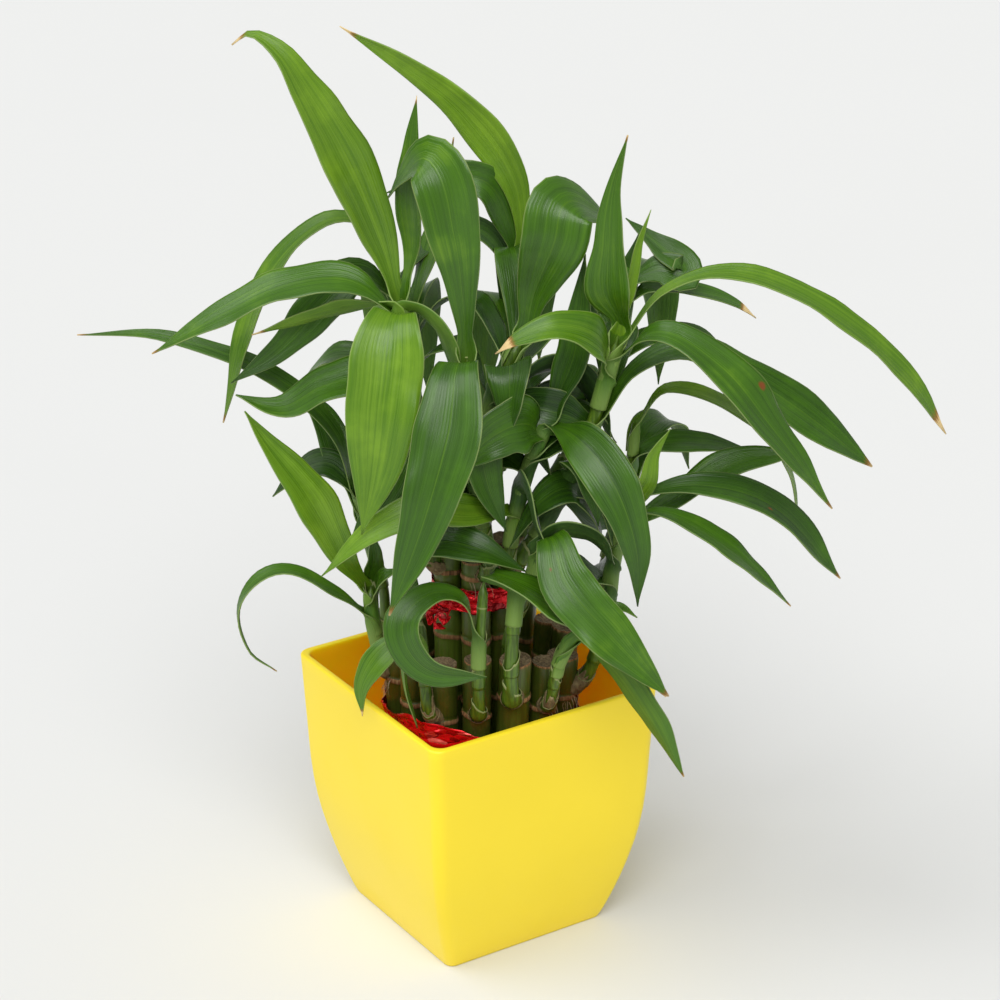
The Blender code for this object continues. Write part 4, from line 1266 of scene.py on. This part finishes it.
def fibre_tuft_tree():
    """Geometry nodes: curved tapering fibres scattered over a surface."""
    tree = bpy.data.node_groups.new("Fibre Tufts", "GeometryNodeTree")
    tree.interface.new_socket("Geometry", in_out="INPUT", socket_type="NodeSocketGeometry")
    keys = {
        "density": group_input(tree, "Density", FLOAT, 60000.0),
        "length": group_input(tree, "Length", FLOAT, 3.0 * MM),
        "radius": group_input(tree, "Radius", FLOAT, 0.12 * MM),
        "lift": group_input(tree, "Lift", FLOAT, 0.6),
        "fall": group_input(tree, "Fall", FLOAT, -1.0),
        "spread": group_input(tree, "Spread", FLOAT, 0.5),
        "seed": group_input(tree, "Seed", "NodeSocketInt", 3),
        "finish": group_input(tree, "Finish", "NodeSocketMaterial"),
    }
    tree.interface.new_socket("Geometry", in_out="OUTPUT", socket_type="NodeSocketGeometry")
    start = tree.nodes.new("NodeGroupInput").outputs
    end = tree.nodes.new("NodeGroupOutput")
    spots = node(tree, "GeometryNodeDistributePointsOnFaces",
                 {"Mesh": start["Geometry"], "Density": start["Density"],
                  "Seed": start["Seed"]}, distribute_method="RANDOM")
    outward = vectors(tree, "SCALE", spots.outputs["Normal"], start["Lift"])
    down = node(tree, "ShaderNodeCombineXYZ", {2: start["Fall"]})
    stray = node(tree, "FunctionNodeRandomValue", {0: (-1.0, -1.0, -1.0), 1: (1.0, 1.0, 1.0),
                                                   "Seed": start["Seed"]},
                 data_type="FLOAT_VECTOR")
    heading = vectors(tree, "ADD", outward, down.outputs[0])
    heading = vectors(tree, "ADD", heading,
                      vectors(tree, "SCALE", stray.outputs[0], start["Spread"]))
    turn = node(tree, "FunctionNodeAlignRotationToVector", {"Vector": heading}, axis="Z")
    line = node(tree, "GeometryNodeCurveQuadraticBezier",
                {"Resolution": 5, "Start": (0.0, 0.0, 0.0), "Middle": (0.22, 0.1, 0.55),
                 "End": (0.05, -0.18, 1.0)})
    share = node(tree, "GeometryNodeSplineParameter")
    taper = remap(tree, share.outputs["Factor"], 0.0, 1.0, 1.0, 0.3)
    thin = maths(tree, "DIVIDE", start["Radius"], start["Length"])
    ring = node(tree, "GeometryNodeCurvePrimitiveCircle", {"Resolution": 4, "Radius": 1.0})
    strand = node(tree, "GeometryNodeCurveToMesh",
                  {"Curve": line.outputs[0], "Profile Curve": ring.outputs[0],
                   "Scale": maths(tree, "MULTIPLY", taper, thin), "Fill Caps": True})
    vary = node(tree, "FunctionNodeRandomValue", {2: 0.45, 3: 1.15, "Seed": start["Seed"]},
                data_type="FLOAT")
    size = maths(tree, "MULTIPLY", vary.outputs[1], start["Length"])
    placed = node(tree, "GeometryNodeInstanceOnPoints",
                  {"Points": spots.outputs["Points"], "Instance": strand.outputs[0],
                   "Rotation": turn.outputs[0], "Scale": size})
    real = node(tree, "GeometryNodeRealizeInstances", {"Geometry": placed.outputs[0]})
    soft = node(tree, "GeometryNodeSetShadeSmooth", {"Geometry": real.outputs[0]})
    painted = node(tree, "GeometryNodeSetMaterial", {"Geometry": soft.outputs[0],
                                                     "Material": start["Finish"]})
    tree.links.new(painted.outputs[0], end.inputs[0])
    return tree, keys


BAND_COLUMNS = 12


def node_band(bm, line, low, high, first=0.0, last=2 * pi):
    """A strip of a stalk's skin from which fibres grow, facing out."""
    _, radius, foot, top, upper_node = line
    axis = (top - foot).normalized()
    turn = axis.to_track_quat("Z", "Y").to_matrix()
    centre = foot.lerp(top, (upper_node - foot.z) / (top.z - foot.z))
    rows = []
    for height in (low, high):
        row = []
        for i in range(BAND_COLUMNS + 1):
            angle = first + (last - first) * i / BAND_COLUMNS
            around = from_front(angle) * radius
            row.append(bm.verts.new(centre + around + turn @ Vector((0, 0, height))))
        rows.append(row)
    bridge_rows(bm, rows[0], rows[1], closed=False)


def build_fibres(name, bands, finish, **values):
    """Fibres grown from strips of skin, as one piece; values are the tree's inputs."""
    bm = bmesh.new()
    for band in bands:
        node_band(bm, *band)
    guide = bpy.data.objects.new(name + "_bands", plain_mesh(bm, name + "_bands"))
    tree, keys = fibre_tuft_tree()
    values["finish"] = finish
    finish_piece(name, bake_nodes(guide, tree, keys, values, name), ())


# Leaves

FOOT_WIDTH = 0.20                   # width at the foot, as a share of the full width
WIDEST = 0.40                       # where most leaves are widest, and those that differ
WIDEST_OF = {2: 0.46, 3: 0.45, 4: 0.58, 5: 0.55, 6: 0.30, 9: 0.52, 10: 0.58, 11: 0.62,
             12: 0.55, 14: 0.55, 15: 0.55, 16: 0.50, 19: 0.42, 20: 0.42, 22: 0.55, 26: 0.5,
             27: 0.42, 30: 0.62, 31: 0.48, 32: 0.48}
TIP_FULLNESS = 1.8                  # how long a blade stays broad before its tip
FULLNESS_OF = {1: 1.65, 2: 1.45, 5: 2.4, 6: 1.3, 8: 3.0, 9: 3.6, 11: 3.4, 14: 2.6, 15: 2.6,
               16: 2.8, 19: 2.1, 20: 2.1, 21: 2.2, 25: 2.2, 31: 2.1, 33: 2.6}
# Brown spots, by leaf: share across, share along and size; other leaves have none
BLEMISHES = {10: (0.12, 0.60, 0.018), 15: (0.66, 0.62, 0.012), 31: (0.7, 0.4, 0.008)}
NO_BLEMISH = (0.0, -1.0, 0.0)
CLASP = 5.0 * MM                    # length that runs along the shoot
FREE = 0.2                          # where along the leaf its first twist is reached
SHEATH = 9.0 * MM                   # how far a leaf's foot runs down its shoot
OPENING = 13.0 * MM                 # length over which the sheath opens to the blade
SHEATH_TURN = 2.5                   # half the angle that the sheath wraps
SEAT_OUT = 0.6 * MM                 # from the shoot's skin to the leaf where it leaves it
FOOT_OUT = 0.35 * MM                # and at the foot of its sheath
SHEATH_OUT = 0.45 * MM
WAVE_LENGTH = (22 * MM, 34 * MM)    # shortest and longest wave of a leaf's edge
TONE_SPREAD = 0.05
ROLL_STRAY = radians(9)             # how far a blade rolls out of true
WIDTH_STRAY = 0.14
SAG = 0.7 * MM
DRY_SHRINK = 0.5                    # how far a dry tip narrows
MIDRIB_ROUNDING = 0.16              # of the channel's bottom, per half-width
LEAST_HALF = 1.5 * MM
FIRST_CROWN_SEED = 100              # seeds of the crowns' leaves start here, by crown
CROWN_SEEDS = 40
COLUMNS = 12


def blade_width(share, widest, fullness):
    """Width of a leaf along its length, as a share of its greatest width."""
    if share < widest:
        return FOOT_WIDTH + (1 - FOOT_WIDTH) * ease(share / widest)
    fall = (share - widest) / (1 - widest)
    return max((1 - min(fall, 1.0) ** fullness) ** 1.2, 0.02)


def blade_turn(share, twist, twist_tip):
    """Twist of a leaf along its length."""
    if share < FREE:
        return radians(twist) * max(share, 0.0) / FREE
    return radians(twist + (twist_tip - twist) * (share - FREE) / (1 - FREE))


def add_leaf(bm, routes, leaf, layers, seed):
    """One leaf: a sheath round the shoot that opens into a channelled, rippled blade."""
    shoot, height, side, width, twist, twist_tip, via, tone, dry = leaf
    settings = bpy.context.scene.bamboo_leaves
    map_layer, tone_layer, dry_layer, blemish_layer = layers
    widest = WIDEST_OF.get(seed, WIDEST)
    fullness = FULLNESS_OF.get(seed, TIP_FULLNESS)
    blemish = Vector(BLEMISHES.get(seed, NO_BLEMISH))
    dice = random.Random(seed)
    stem, along, radius = at_height(routes[shoot], height * MM)
    out = from_front(radians(side))
    out = (out - out.dot(along) * along).normalized()
    seat = stem + out * (radius + SEAT_OUT)
    low_stem, low_along, low_radius = at_height(routes[shoot], height * MM - SHEATH)
    low_out = (out - out.dot(low_along) * low_along).normalized()
    low = low_stem + low_out * (low_radius + FOOT_OUT)
    run = [low, seat, seat + along * CLASP] + [plant_mm(p) for p in via]
    count = settings.stations
    shares = [(i / (count - 1)) ** 1.3 for i in range(count)]
    points, length = smooth_route(run, shares)
    buried = (seat - low).length
    upper = -low_out
    sheath_radius = radius + SHEATH_OUT
    waves = length / dice.uniform(*WAVE_LENGTH)
    tone += dice.uniform(-TONE_SPREAD, TONE_SPREAD)

    def stray(share, rate, channel):
        """Slow change of one kind along this leaf, between -1 and 1."""
        return noise.noise(Vector((share * rate, seed * 3.7, channel * 11.3)))

    rows = []
    for i, (share, point) in enumerate(zip(shares, points)):
        distance = share * length
        blade_share = (distance - buried) / (length - buried)
        ahead = points[min(i + 1, count - 1)] - points[max(i - 1, 0)]
        ahead.normalize()
        upper = (upper - upper.dot(ahead) * ahead).normalized()
        roll = blade_turn(blade_share, twist, twist_tip)
        roll += ROLL_STRAY * stray(blade_share, 3.0, 1) * ease(blade_share * 4)
        normal = Matrix.Rotation(roll, 3, ahead) @ upper
        across = ahead.cross(normal)
        opened = ease((distance - SHEATH * 0.8) / OPENING)
        half = width * MM * blade_width(max(blade_share, 0.0), widest, fullness) / 2
        half *= 1 + WIDTH_STRAY * stray(blade_share, 6.0, 2)
        sag = SAG * stray(blade_share, waves, 3) * ease(blade_share * 3)
        if blade_share > 0.9 and dry > 0.02:
            half *= 1 - DRY_SHRINK * ease((blade_share - 1 + dry) / dry)
        half_here = half * opened + sheath_radius * SHEATH_TURN * (1 - opened)
        bend = (1 - opened) / sheath_radius + opened * 0.10 / max(half, LEAST_HALF)
        rounding = MIDRIB_ROUNDING * half
        row = []
        for j in range(COLUMNS + 1):
            s = 2 * j / COLUMNS - 1
            flat = s * half_here
            x = sin(bend * flat) / bend
            z = (1 - cos(bend * flat)) / bend
            rise = sqrt(flat * flat + rounding * rounding) - rounding
            z += settings.channel * rise * opened
            edge = stray(blade_share, waves * 1.6, 4 if s < 0 else 5)
            z += sag + settings.ripple * half * abs(s) ** 2.2 * opened * edge * 2.2
            vert = bm.verts.new(point + across * x + normal * z)
            vert[tone_layer] = tone
            vert[dry_layer] = dry
            vert[blemish_layer] = blemish
            row.append(vert)
        rows.append(row)
    for i in range(count - 1):
        for j in range(COLUMNS):
            face = bm.faces.new((rows[i][j], rows[i][j + 1], rows[i + 1][j + 1],
                                 rows[i + 1][j]))
            spots = ((j, i), (j + 1, i), (j + 1, i + 1), (j, i + 1))
            for loop, (column, row) in zip(face.loops, spots):
                loop[map_layer].uv = (column / COLUMNS, shares[row])


def leaf_piece(name, leaves, seeds, nodes=()):
    """One piece of one leaf or more, with the duller skin underneath and at the edge."""
    bm = bmesh.new()
    layers = (bm.loops.layers.uv.new("blade"), bm.verts.layers.float.new("tone"),
              bm.verts.layers.float.new("dry"), bm.verts.layers.float_vector.new("blemish"))
    routes = shoot_routes()
    for leaf, seed in zip(leaves, seeds):
        add_leaf(bm, routes, leaf, layers, seed)
    mesh = plain_mesh(bm, name)
    mesh.shade_smooth()
    made = finish_piece(name, mesh, leaf_finishes(), nodes)
    wall = thicken(made, bpy.context.scene.bamboo_leaves.thickness, offset=-1.0)
    wall.material_offset = 1
    wall.material_offset_rim = 1


# Foil ties

BULGE_AT = radians(205)             # where the lower foil stands off the stalks
BULGE_SPREAD = 0.55                 # in radians
TIE_COLUMNS = 320
TIE_ROWS = 24
FLATTEST = 0.05                     # cosine past which a stalk doesn't carry the foil
FAR = 1e9
EDGE_RUFFLE = 1.2 * MM              # how far the tie's edges wander up and down
TIE_FOIL = 0.12 * MM
BOW_FOIL = 0.14 * MM
BOW_AT = (-13.0, -18.8, 135.5)
BOW_LOOPS = ((0.2, 4.5, 5.0), (1.3, 3.2, 4.0), (2.6, 4.2, 5.0), (3.7, 5.5, 4.5),
             (4.5, 6.8, 4.0), (5.4, 5.2, 4.4))  # turn, reach and width of each loop


def tier_outline(circles, count):
    """Outline of foil pulled tight round circles: distance from the middle, by angle."""
    angles = np.arange(count) * 2 * np.pi / count
    middle = sum((centre for centre, _ in circles), Vector((0, 0))) / len(circles)
    support = np.full(count, -FAR)
    for centre, radius in circles:
        away = centre - middle
        support = np.maximum(support, away.x * np.cos(angles) + away.y * np.sin(angles)
                             + radius)
    gaps = np.cos(angles[:, None] - angles[None, :])
    reach = np.where(gaps > FLATTEST, support[None, :] / np.maximum(gaps, FLATTEST), FAR)
    reach = reach.min(axis=1)
    return middle, angles, reach


def build_tie(name, wanted, heights, slack, flare, seed, nodes, bulge=0.0):
    """Foil wound round a tier and crumpled, its edges ragged; bulge lifts the left side."""
    crumple = bpy.context.scene.bamboo_ties.crumple * (2.0 if bulge else 1.0)
    lines = [line for line in stalk_lines() if line[0].startswith(wanted)]
    low, high = heights[0] * MM, heights[1] * MM
    dice = random.Random(seed)
    shift = Vector((dice.uniform(-9, 9), dice.uniform(-9, 9), dice.uniform(-9, 9)))
    bm = bmesh.new()
    rows = []
    for share in even_shares(TIE_ROWS):
        height = low + (high - low) * share
        circles = []
        for _, radius, foot, top, _ in lines:
            spot = foot.lerp(top, (height - foot.z) / (top.z - foot.z))
            circles.append((spot.xy, radius))
        middle, angles, reach = tier_outline(circles, TIE_COLUMNS)
        row = []
        for angle, distance in zip(angles, reach):
            way = Vector((cos(angle), sin(angle), 0))
            probe = Vector((cos(angle) * 4, sin(angle) * 4, height * 190)) + shift
            folds = noise.turbulence(probe, 3, True, amplitude_scale=0.5, frequency_scale=2.0)
            bands = noise.noise(Vector((cos(angle), sin(angle), height * 600)) + shift)
            edge = abs(share * 2 - 1) ** 5
            left = bulge * exp(-((angle - BULGE_AT) / BULGE_SPREAD) ** 2) * share
            push = slack + crumple * (folds + 0.4 * bands) + flare * edge + left * 0.45
            ruffle = noise.noise(Vector((angle * 4, share * 3, seed)))
            rise = EDGE_RUFFLE * edge * ruffle + left
            spot = way * (distance + push) + Vector((middle.x, middle.y, height + rise))
            row.append(bm.verts.new(spot))
        rows.append(row)
    for a, b in zip(rows, rows[1:]):
        bridge_rows(bm, a, b)
    mesh = smooth_mesh(bm, name, radians(70))
    thicken(finish_piece(name, mesh, (foil_finish("tie_foil"),), nodes), TIE_FOIL)


def build_bow():
    """A small crushed bow of foil on the upper tie: loops gathered at a knot."""
    bm = bmesh.new()
    centre = plant_mm(BOW_AT)
    right = from_front(radians(60))
    out = from_front(radians(-35))
    up = Vector((0, 0, 1))
    for turn, reach, width in BOW_LOOPS:
        rows = []
        for share in even_shares(15):
            heading = turn + 0.35 * sin(share * 5 + turn)
            away = right * cos(heading) + up * sin(heading)
            spot = away * reach * sin(share * 2.2) * MM
            spot += out * (2.4 * sin(share * pi) * (0.6 + 0.4 * sin(turn * 7)) + 0.5) * MM
            across = (up * cos(heading) - right * sin(heading)
                      + out * 0.9 * sin(share * 4 + turn * 3)).normalized()
            row = []
            spread = width * MM * (0.3 + 0.7 * sin(share * pi * 0.75))
            for side in even_shares(7):
                s = side - 0.5
                ruck = 0.7 * MM * noise.noise(Vector((share * 5, s * 6, turn * 3)))
                row.append(bm.verts.new(centre + spot + across * s * spread + out * ruck))
            rows.append(row)
        for a, b in zip(rows, rows[1:]):
            bridge_rows(bm, a, b, closed=False)
    mesh = smooth_mesh(bm, "tie_bow", radians(70))
    thicken(finish_piece("tie_bow", mesh, (foil_finish("tie_foil"),)), BOW_FOIL)


# Pot

POT_ROW_HEIGHTS = (0.8, 1.8, 3, 5, 7.5, 10, 13, 16, 20, 25, 30, 36, 42, 50, 58, 66, 75, 84,
                   92, 98)          # rows of the side, in millimetres
LIP_ROWS = 5
FOOT_EDGE = 0.7 * MM                # rounding of the foot's outer edge
FOOT_BAND = 1.6 * MM                # width of the band it stands on
FOOT_RISE = 0.6 * MM                # height of the bottom inside that band
LEAST_CORNER = 0.6 * MM
INNER_FIRST = 3                     # first row of the side that the inside has too
WHITE = (1.0, 1.0, 1.0)
INNER_PAINTED_GLOW = (1.0, 0.78, 0.3)       # painted glow: the inside is tinted orange for light coming through the wall


def side_half(height):
    """Half-width of the pot at a height, in metres, on a smooth line through POT_SIDE."""
    last = len(POT_SIDE) - 1
    i = next((k for k in range(last) if POT_SIDE[k + 1][0] >= height), last - 1)
    z0, w0 = POT_SIDE[i]
    z1, w1 = POT_SIDE[i + 1]

    def slope(k):
        """Slope of the side at one of its given points."""
        a, b = POT_SIDE[max(k - 1, 0)], POT_SIDE[min(k + 1, last)]
        return (b[1] - a[1]) / (b[0] - a[0])

    step = z1 - z0
    t = (height - z0) / step
    value = ((2 * t ** 3 - 3 * t ** 2 + 1) * w0 + (t ** 3 - 2 * t ** 2 + t) * step * slope(i)
             + (3 * t ** 2 - 2 * t ** 3) * w1 + (t ** 3 - t ** 2) * step * slope(i + 1))
    return value * MM


def rounded_square(half, radius, steps=8, spans=6):
    """Points of a square with rounded corners and evenly divided sides."""
    outline = []
    for corner in range(4):
        turn = Matrix.Rotation(corner * pi / 2, 2)
        centre = turn @ Vector((half - radius, half - radius))
        for step in range(steps + 1):
            angle = (corner + step / steps) * pi / 2
            outline.append(centre + radius * Vector((cos(angle), sin(angle))))
        begin = outline[-1]
        following = Matrix.Rotation((corner + 1) * pi / 2, 2)
        finish = following @ Vector((half - radius, half - radius))
        finish += radius * Vector((cos((corner + 1) * pi / 2), sin((corner + 1) * pi / 2)))
        outline += [begin.lerp(finish, k / spans) for k in range(1, spans)]
    return outline


def build_pot():
    """The pot: bowed tapering sides, a softly rounded lip and a raised foot."""
    pot = bpy.context.scene.bamboo_pot
    rim_half, rim = POT_SIDE[-1][1] * MM, POT_SIDE[-1][0] * MM
    foot = side_half(0.0) - FOOT_EDGE
    bm = bmesh.new()

    def ring(half, height):
        """A row of vertices round the pot."""
        radius = max(pot.corner * half / rim_half, LEAST_CORNER)
        return [bm.verts.new((p.x, p.y, height)) for p in rounded_square(half, radius)]

    rows = [ring(foot - 3.0 * MM, FOOT_RISE), ring(foot - FOOT_BAND, 0.0),
            ring(side_half(0.0) - FOOT_EDGE * 0.6, 0.0), ring(side_half(0.25), 0.25 * MM)]
    rows += [ring(side_half(h), h * MM) for h in POT_ROW_HEIGHTS]
    quarter = [share * pi / 2 for share in even_shares(LIP_ROWS)]
    for face, way, angles in ((rim_half, -1, quarter),
                              (rim_half - pot.wall, 1, reversed(quarter))):
        rows += [ring(face + way * pot.lip * (1 - cos(angle)),
                      rim - pot.lip * (1 - sin(angle))) for angle in angles]
    lip_end = len(rows) - LIP_ROWS + 2
    rows += [ring(side_half(h) - pot.wall, h * MM)
             for h in reversed(POT_ROW_HEIGHTS[INNER_FIRST:])]
    rows.append(ring(side_half(4.0) - pot.wall - 1.0 * MM, 3.0 * MM))
    rows.append(ring(15 * MM, POT_FLOOR))
    for k, (low, high) in enumerate(zip(rows, rows[1:])):
        for face in bridge_rows(bm, low, high):
            face.material_index = 1 if k >= lip_end else 0
    bm.faces.new(list(reversed(rows[0])))
    bm.faces.new(rows[-1]).material_index = 1
    bmesh.ops.recalc_face_normals(bm, faces=bm.faces)
    mesh = smooth_mesh(bm, "pot_shell", radians(60))
    # The inner wall's finish is tinted orange as painted glow, on top of the light its
    # subsurface lets through
    finishes = (pot_finish("pot_moulded_plastic", WHITE, 0.0),
                pot_finish("pot_inner_wall", INNER_PAINTED_GLOW, 1.0))
    finish_piece("pot_shell", mesh, finishes, ("pot",))


# Stage

CAMERA_AT = Vector((-0.5477, -0.8542, 0.6125))
CAMERA_TO = Vector((0.01063, 0.0, 0.16901))
LENS = 108.0                        # focal length and film width, in millimetres
FILM = 36.0
KEY_AT, KEY_SPREAD = (-0.84, 0.30, 1.25), 44
FRONT_AT, FRONT_SPREAD = (-0.55, -0.85, 1.20), 40
FLOOR_HALF = 6.0
BACKDROP = 0.85                     # brightness of the surround where the camera sees it


def soft_light(name, place, strength, spread):
    """A far, broad light shining from a place towards the plant."""
    lamp = bpy.data.lights.new(name, "SUN")
    lamp.energy = strength
    lamp.angle = radians(spread)
    made = bpy.data.objects.new(name, lamp)
    made.location = place
    made.rotation_euler = (-Vector(place)).to_track_quat("-Z", "Y").to_euler()
    bpy.context.scene.collection.objects.link(made)


def build_stage():
    """Pale floor, even surround, a soft light from the left and one over the camera."""
    scene = bpy.context.scene
    stage = scene.bamboo_stage
    bm = bmesh.new()
    bmesh.ops.create_grid(bm, x_segments=8, y_segments=8, size=FLOOR_HALF)
    mesh = plain_mesh(bm, "studio_floor")
    mesh.materials.append(floor_finish("studio_floor"))
    floor = bpy.data.objects.new("studio_floor", mesh)
    scene.collection.objects.link(floor)
    world = bpy.data.worlds.new("studio_surround")
    world.use_nodes = True
    tree = world.node_tree
    seen = node(tree, "ShaderNodeLightPath").outputs["Is Camera Ray"]
    sky = tree.nodes["Background"]
    tree.links.new(remap(tree, seen, 0.0, 1.0, stage.sky, BACKDROP),
                   sky.inputs["Strength"])
    sky.inputs["Color"].default_value = (1.0, 1.0, 1.0, 1.0)
    scene.world = world
    soft_light("key_light", KEY_AT, stage.key, KEY_SPREAD)
    soft_light("front_light", FRONT_AT, stage.front, FRONT_SPREAD)
    lens = bpy.data.cameras.new("studio_camera")
    lens.lens = LENS
    lens.sensor_width = FILM
    camera = bpy.data.objects.new("studio_camera", lens)
    camera.location = CAMERA_AT
    camera.rotation_euler = (CAMERA_TO - CAMERA_AT).to_track_quat("-Z", "Y").to_euler()
    scene.collection.objects.link(camera)
    scene.camera = camera
    scene.view_settings.view_transform = "Standard"


# Operators and panel

class BAMBOO_OT_stage(bpy.types.Operator):
    """Sets up the floor, lights and camera"""
    bl_idname = "bamboo.stage"
    bl_label = "Stage"

    def execute(self, context):
        build_stage()
        return {"FINISHED"}


class BAMBOO_OT_pot(bpy.types.Operator):
    """Moulds the square pot"""
    bl_idname = "bamboo.pot"
    bl_label = "Pot"

    def execute(self, context):
        build_pot()
        return {"FINISHED"}


class BAMBOO_OT_stalks(bpy.types.Operator):
    """Stands the two tiers of cut stalks in the pot"""
    bl_idname = "bamboo.stalks"
    bl_label = "Stalks"

    def execute(self, context):
        build_stalks("inner_stalks", "inner", 5)
        build_stalks("outer_stalks", "outer", 8)
        return {"FINISHED"}


class BAMBOO_OT_shoots(bpy.types.Operator):
    """Grows the ringed shoots, their green sheaths and the dry cuffs at their feet"""
    bl_idname = "bamboo.shoots"
    bl_label = "Shoots"

    def execute(self, context):
        build_shoots()
        build_sheaths("green_sheaths", shoot_finish("shoot_skin"), (9, 21, 37), (7.0, 11.0),
                      0.12, 21)
        dry = plain_wood_finish("dry_sheath", (0.13, 0.085, 0.035), (0.42, 0.33, 0.16), 0.7,
                                900.0, 0.12 * MM)
        build_sheaths("dry_cuffs", dry, (4.2, 6.0), (3.0, 5.5), 0.55, 4)
        build_sheaths("dry_bracts", dry, (4.8, 7.5, 10.0), (6.5, 9.5), 0.8, 9,
                      ("right_low", "right", "back_left", "front_left"))
        return {"FINISHED"}


class BAMBOO_OT_fibres(bpy.types.Operator):
    """Adds rootlets and frayed fibres at the stalks' nodes"""
    bl_idname = "bamboo.fibres"
    bl_label = "Rootlets and Fibres"

    def execute(self, context):
        density = context.scene.bamboo_stalks.rootlets
        lines = {line[0]: line for line in stalk_lines()}
        pale = plain_wood_finish("pale_fibre", (0.30, 0.20, 0.11), (0.66, 0.52, 0.34), 0.7,
                                 1500.0, 0.05 * MM)
        brown = plain_wood_finish("brown_fibre", (0.09, 0.045, 0.018), (0.32, 0.19, 0.09),
                                  0.8, 1500.0, 0.05 * MM)
        fringe = [(line, -0.9 * MM, 0.9 * MM) for line in lines.values()]
        build_fibres("node_fringe", fringe, brown, density=density * 3.2, length=1.3 * MM,
                     radius=0.07 * MM, lift=0.75, fall=-0.9, spread=0.5, seed=11)
        rooted = [(lines[name], -4.0 * MM, 0.5 * MM, first, last) for name, first, last in (
            ("outer_04", 0.0, 2.2), ("outer_03", -0.4, 1.2), ("outer_12", -2.6, -0.6),
            ("outer_07", 2.0, 4.0), ("inner_1", -0.6, 0.8))]
        build_fibres("rootlets", rooted, pale, density=density * 4.5, length=5.5 * MM,
                     radius=0.16 * MM, lift=0.28, fall=-1.0, spread=0.35, seed=4)
        return {"FINISHED"}


class BAMBOO_OT_ties(bpy.types.Operator):
    """Winds red foil round each tier, with a small bow"""
    bl_idname = "bamboo.ties"
    bl_label = "Foil Ties"

    def execute(self, context):
        build_tie("lower_tie", "outer", LOWER_TIE, 0.2 * MM, 0.7 * MM, 3, ("lower_ribbon",),
                  bulge=7.0 * MM)
        build_tie("upper_tie", "inner", UPPER_TIE, 0.2 * MM, 0.4 * MM, 6, ("upper_ribbon",))
        build_bow()
        return {"FINISHED"}


class BAMBOO_OT_leaves(bpy.types.Operator):
    """Grows the long leaves, one piece for each, and the smaller leaves of each crown"""
    bl_idname = "bamboo.leaves"
    bl_label = "Leaves"

    def execute(self, context):
        for number, leaf in enumerate(LEAVES, start=1):
            leaf_piece(f"leaf_{number:02d}_blade", (leaf,), (number,),
                       (f"leaf_{number:02d}",))
        for crown, leaves in CROWN_LEAVES.items():
            first = FIRST_CROWN_SEED + CROWN_SEEDS * sorted(CROWN_LEAVES).index(crown)
            leaf_piece(crown + "_crown_leaves", leaves, range(first, first + len(leaves)))
        return {"FINISHED"}


class BAMBOO_PT_panel(bpy.types.Panel):
    """Lists the steps that build the plant"""
    bl_idname = "BAMBOO_PT_panel"
    bl_label = "Lucky Bamboo"
    bl_space_type = "VIEW_3D"
    bl_region_type = "UI"
    bl_category = "Bamboo"

    def draw(self, context):
        for settings in ("bamboo_pot", "bamboo_stalks", "bamboo_leaves", "bamboo_ties",
                         "bamboo_stage"):
            box = self.layout.box()
            group = getattr(context.scene, settings)
            for key in group.bl_rna.properties.keys():
                if key not in ("rna_type", "name"):
                    box.prop(group, key)
        for step in STEPS:
            self.layout.operator(step.bl_idname)


STEPS = (BAMBOO_OT_stage, BAMBOO_OT_pot, BAMBOO_OT_stalks, BAMBOO_OT_shoots,
         BAMBOO_OT_fibres, BAMBOO_OT_ties, BAMBOO_OT_leaves)
SETTINGS = {
    "bamboo_pot": BambooPotSettings,
    "bamboo_stalks": BambooStalkSettings,
    "bamboo_leaves": BambooLeafSettings,
    "bamboo_ties": BambooTieSettings,
    "bamboo_stage": BambooStageSettings,
}


def register():
    """Registers the settings, the steps and the panel."""
    for key, group in SETTINGS.items():
        bpy.utils.register_class(group)
        setattr(bpy.types.Scene, key, bpy.props.PointerProperty(type=group))
    for made in (*STEPS, BAMBOO_PT_panel):
        bpy.utils.register_class(made)


def unregister():
    """Takes them away again."""
    for made in reversed((*STEPS, BAMBOO_PT_panel)):
        bpy.utils.unregister_class(made)
    for key, group in reversed(SETTINGS.items()):
        delattr(bpy.types.Scene, key)
        bpy.utils.unregister_class(group)


def main():
    """Builds the plant step by step."""
    register()
    bpy.ops.bamboo.stage()
    bpy.ops.bamboo.pot()
    bpy.ops.bamboo.stalks()
    bpy.ops.bamboo.shoots()
    bpy.ops.bamboo.fibres()
    bpy.ops.bamboo.ties()
    bpy.ops.bamboo.leaves()


if __name__ == "__main__":
    main()
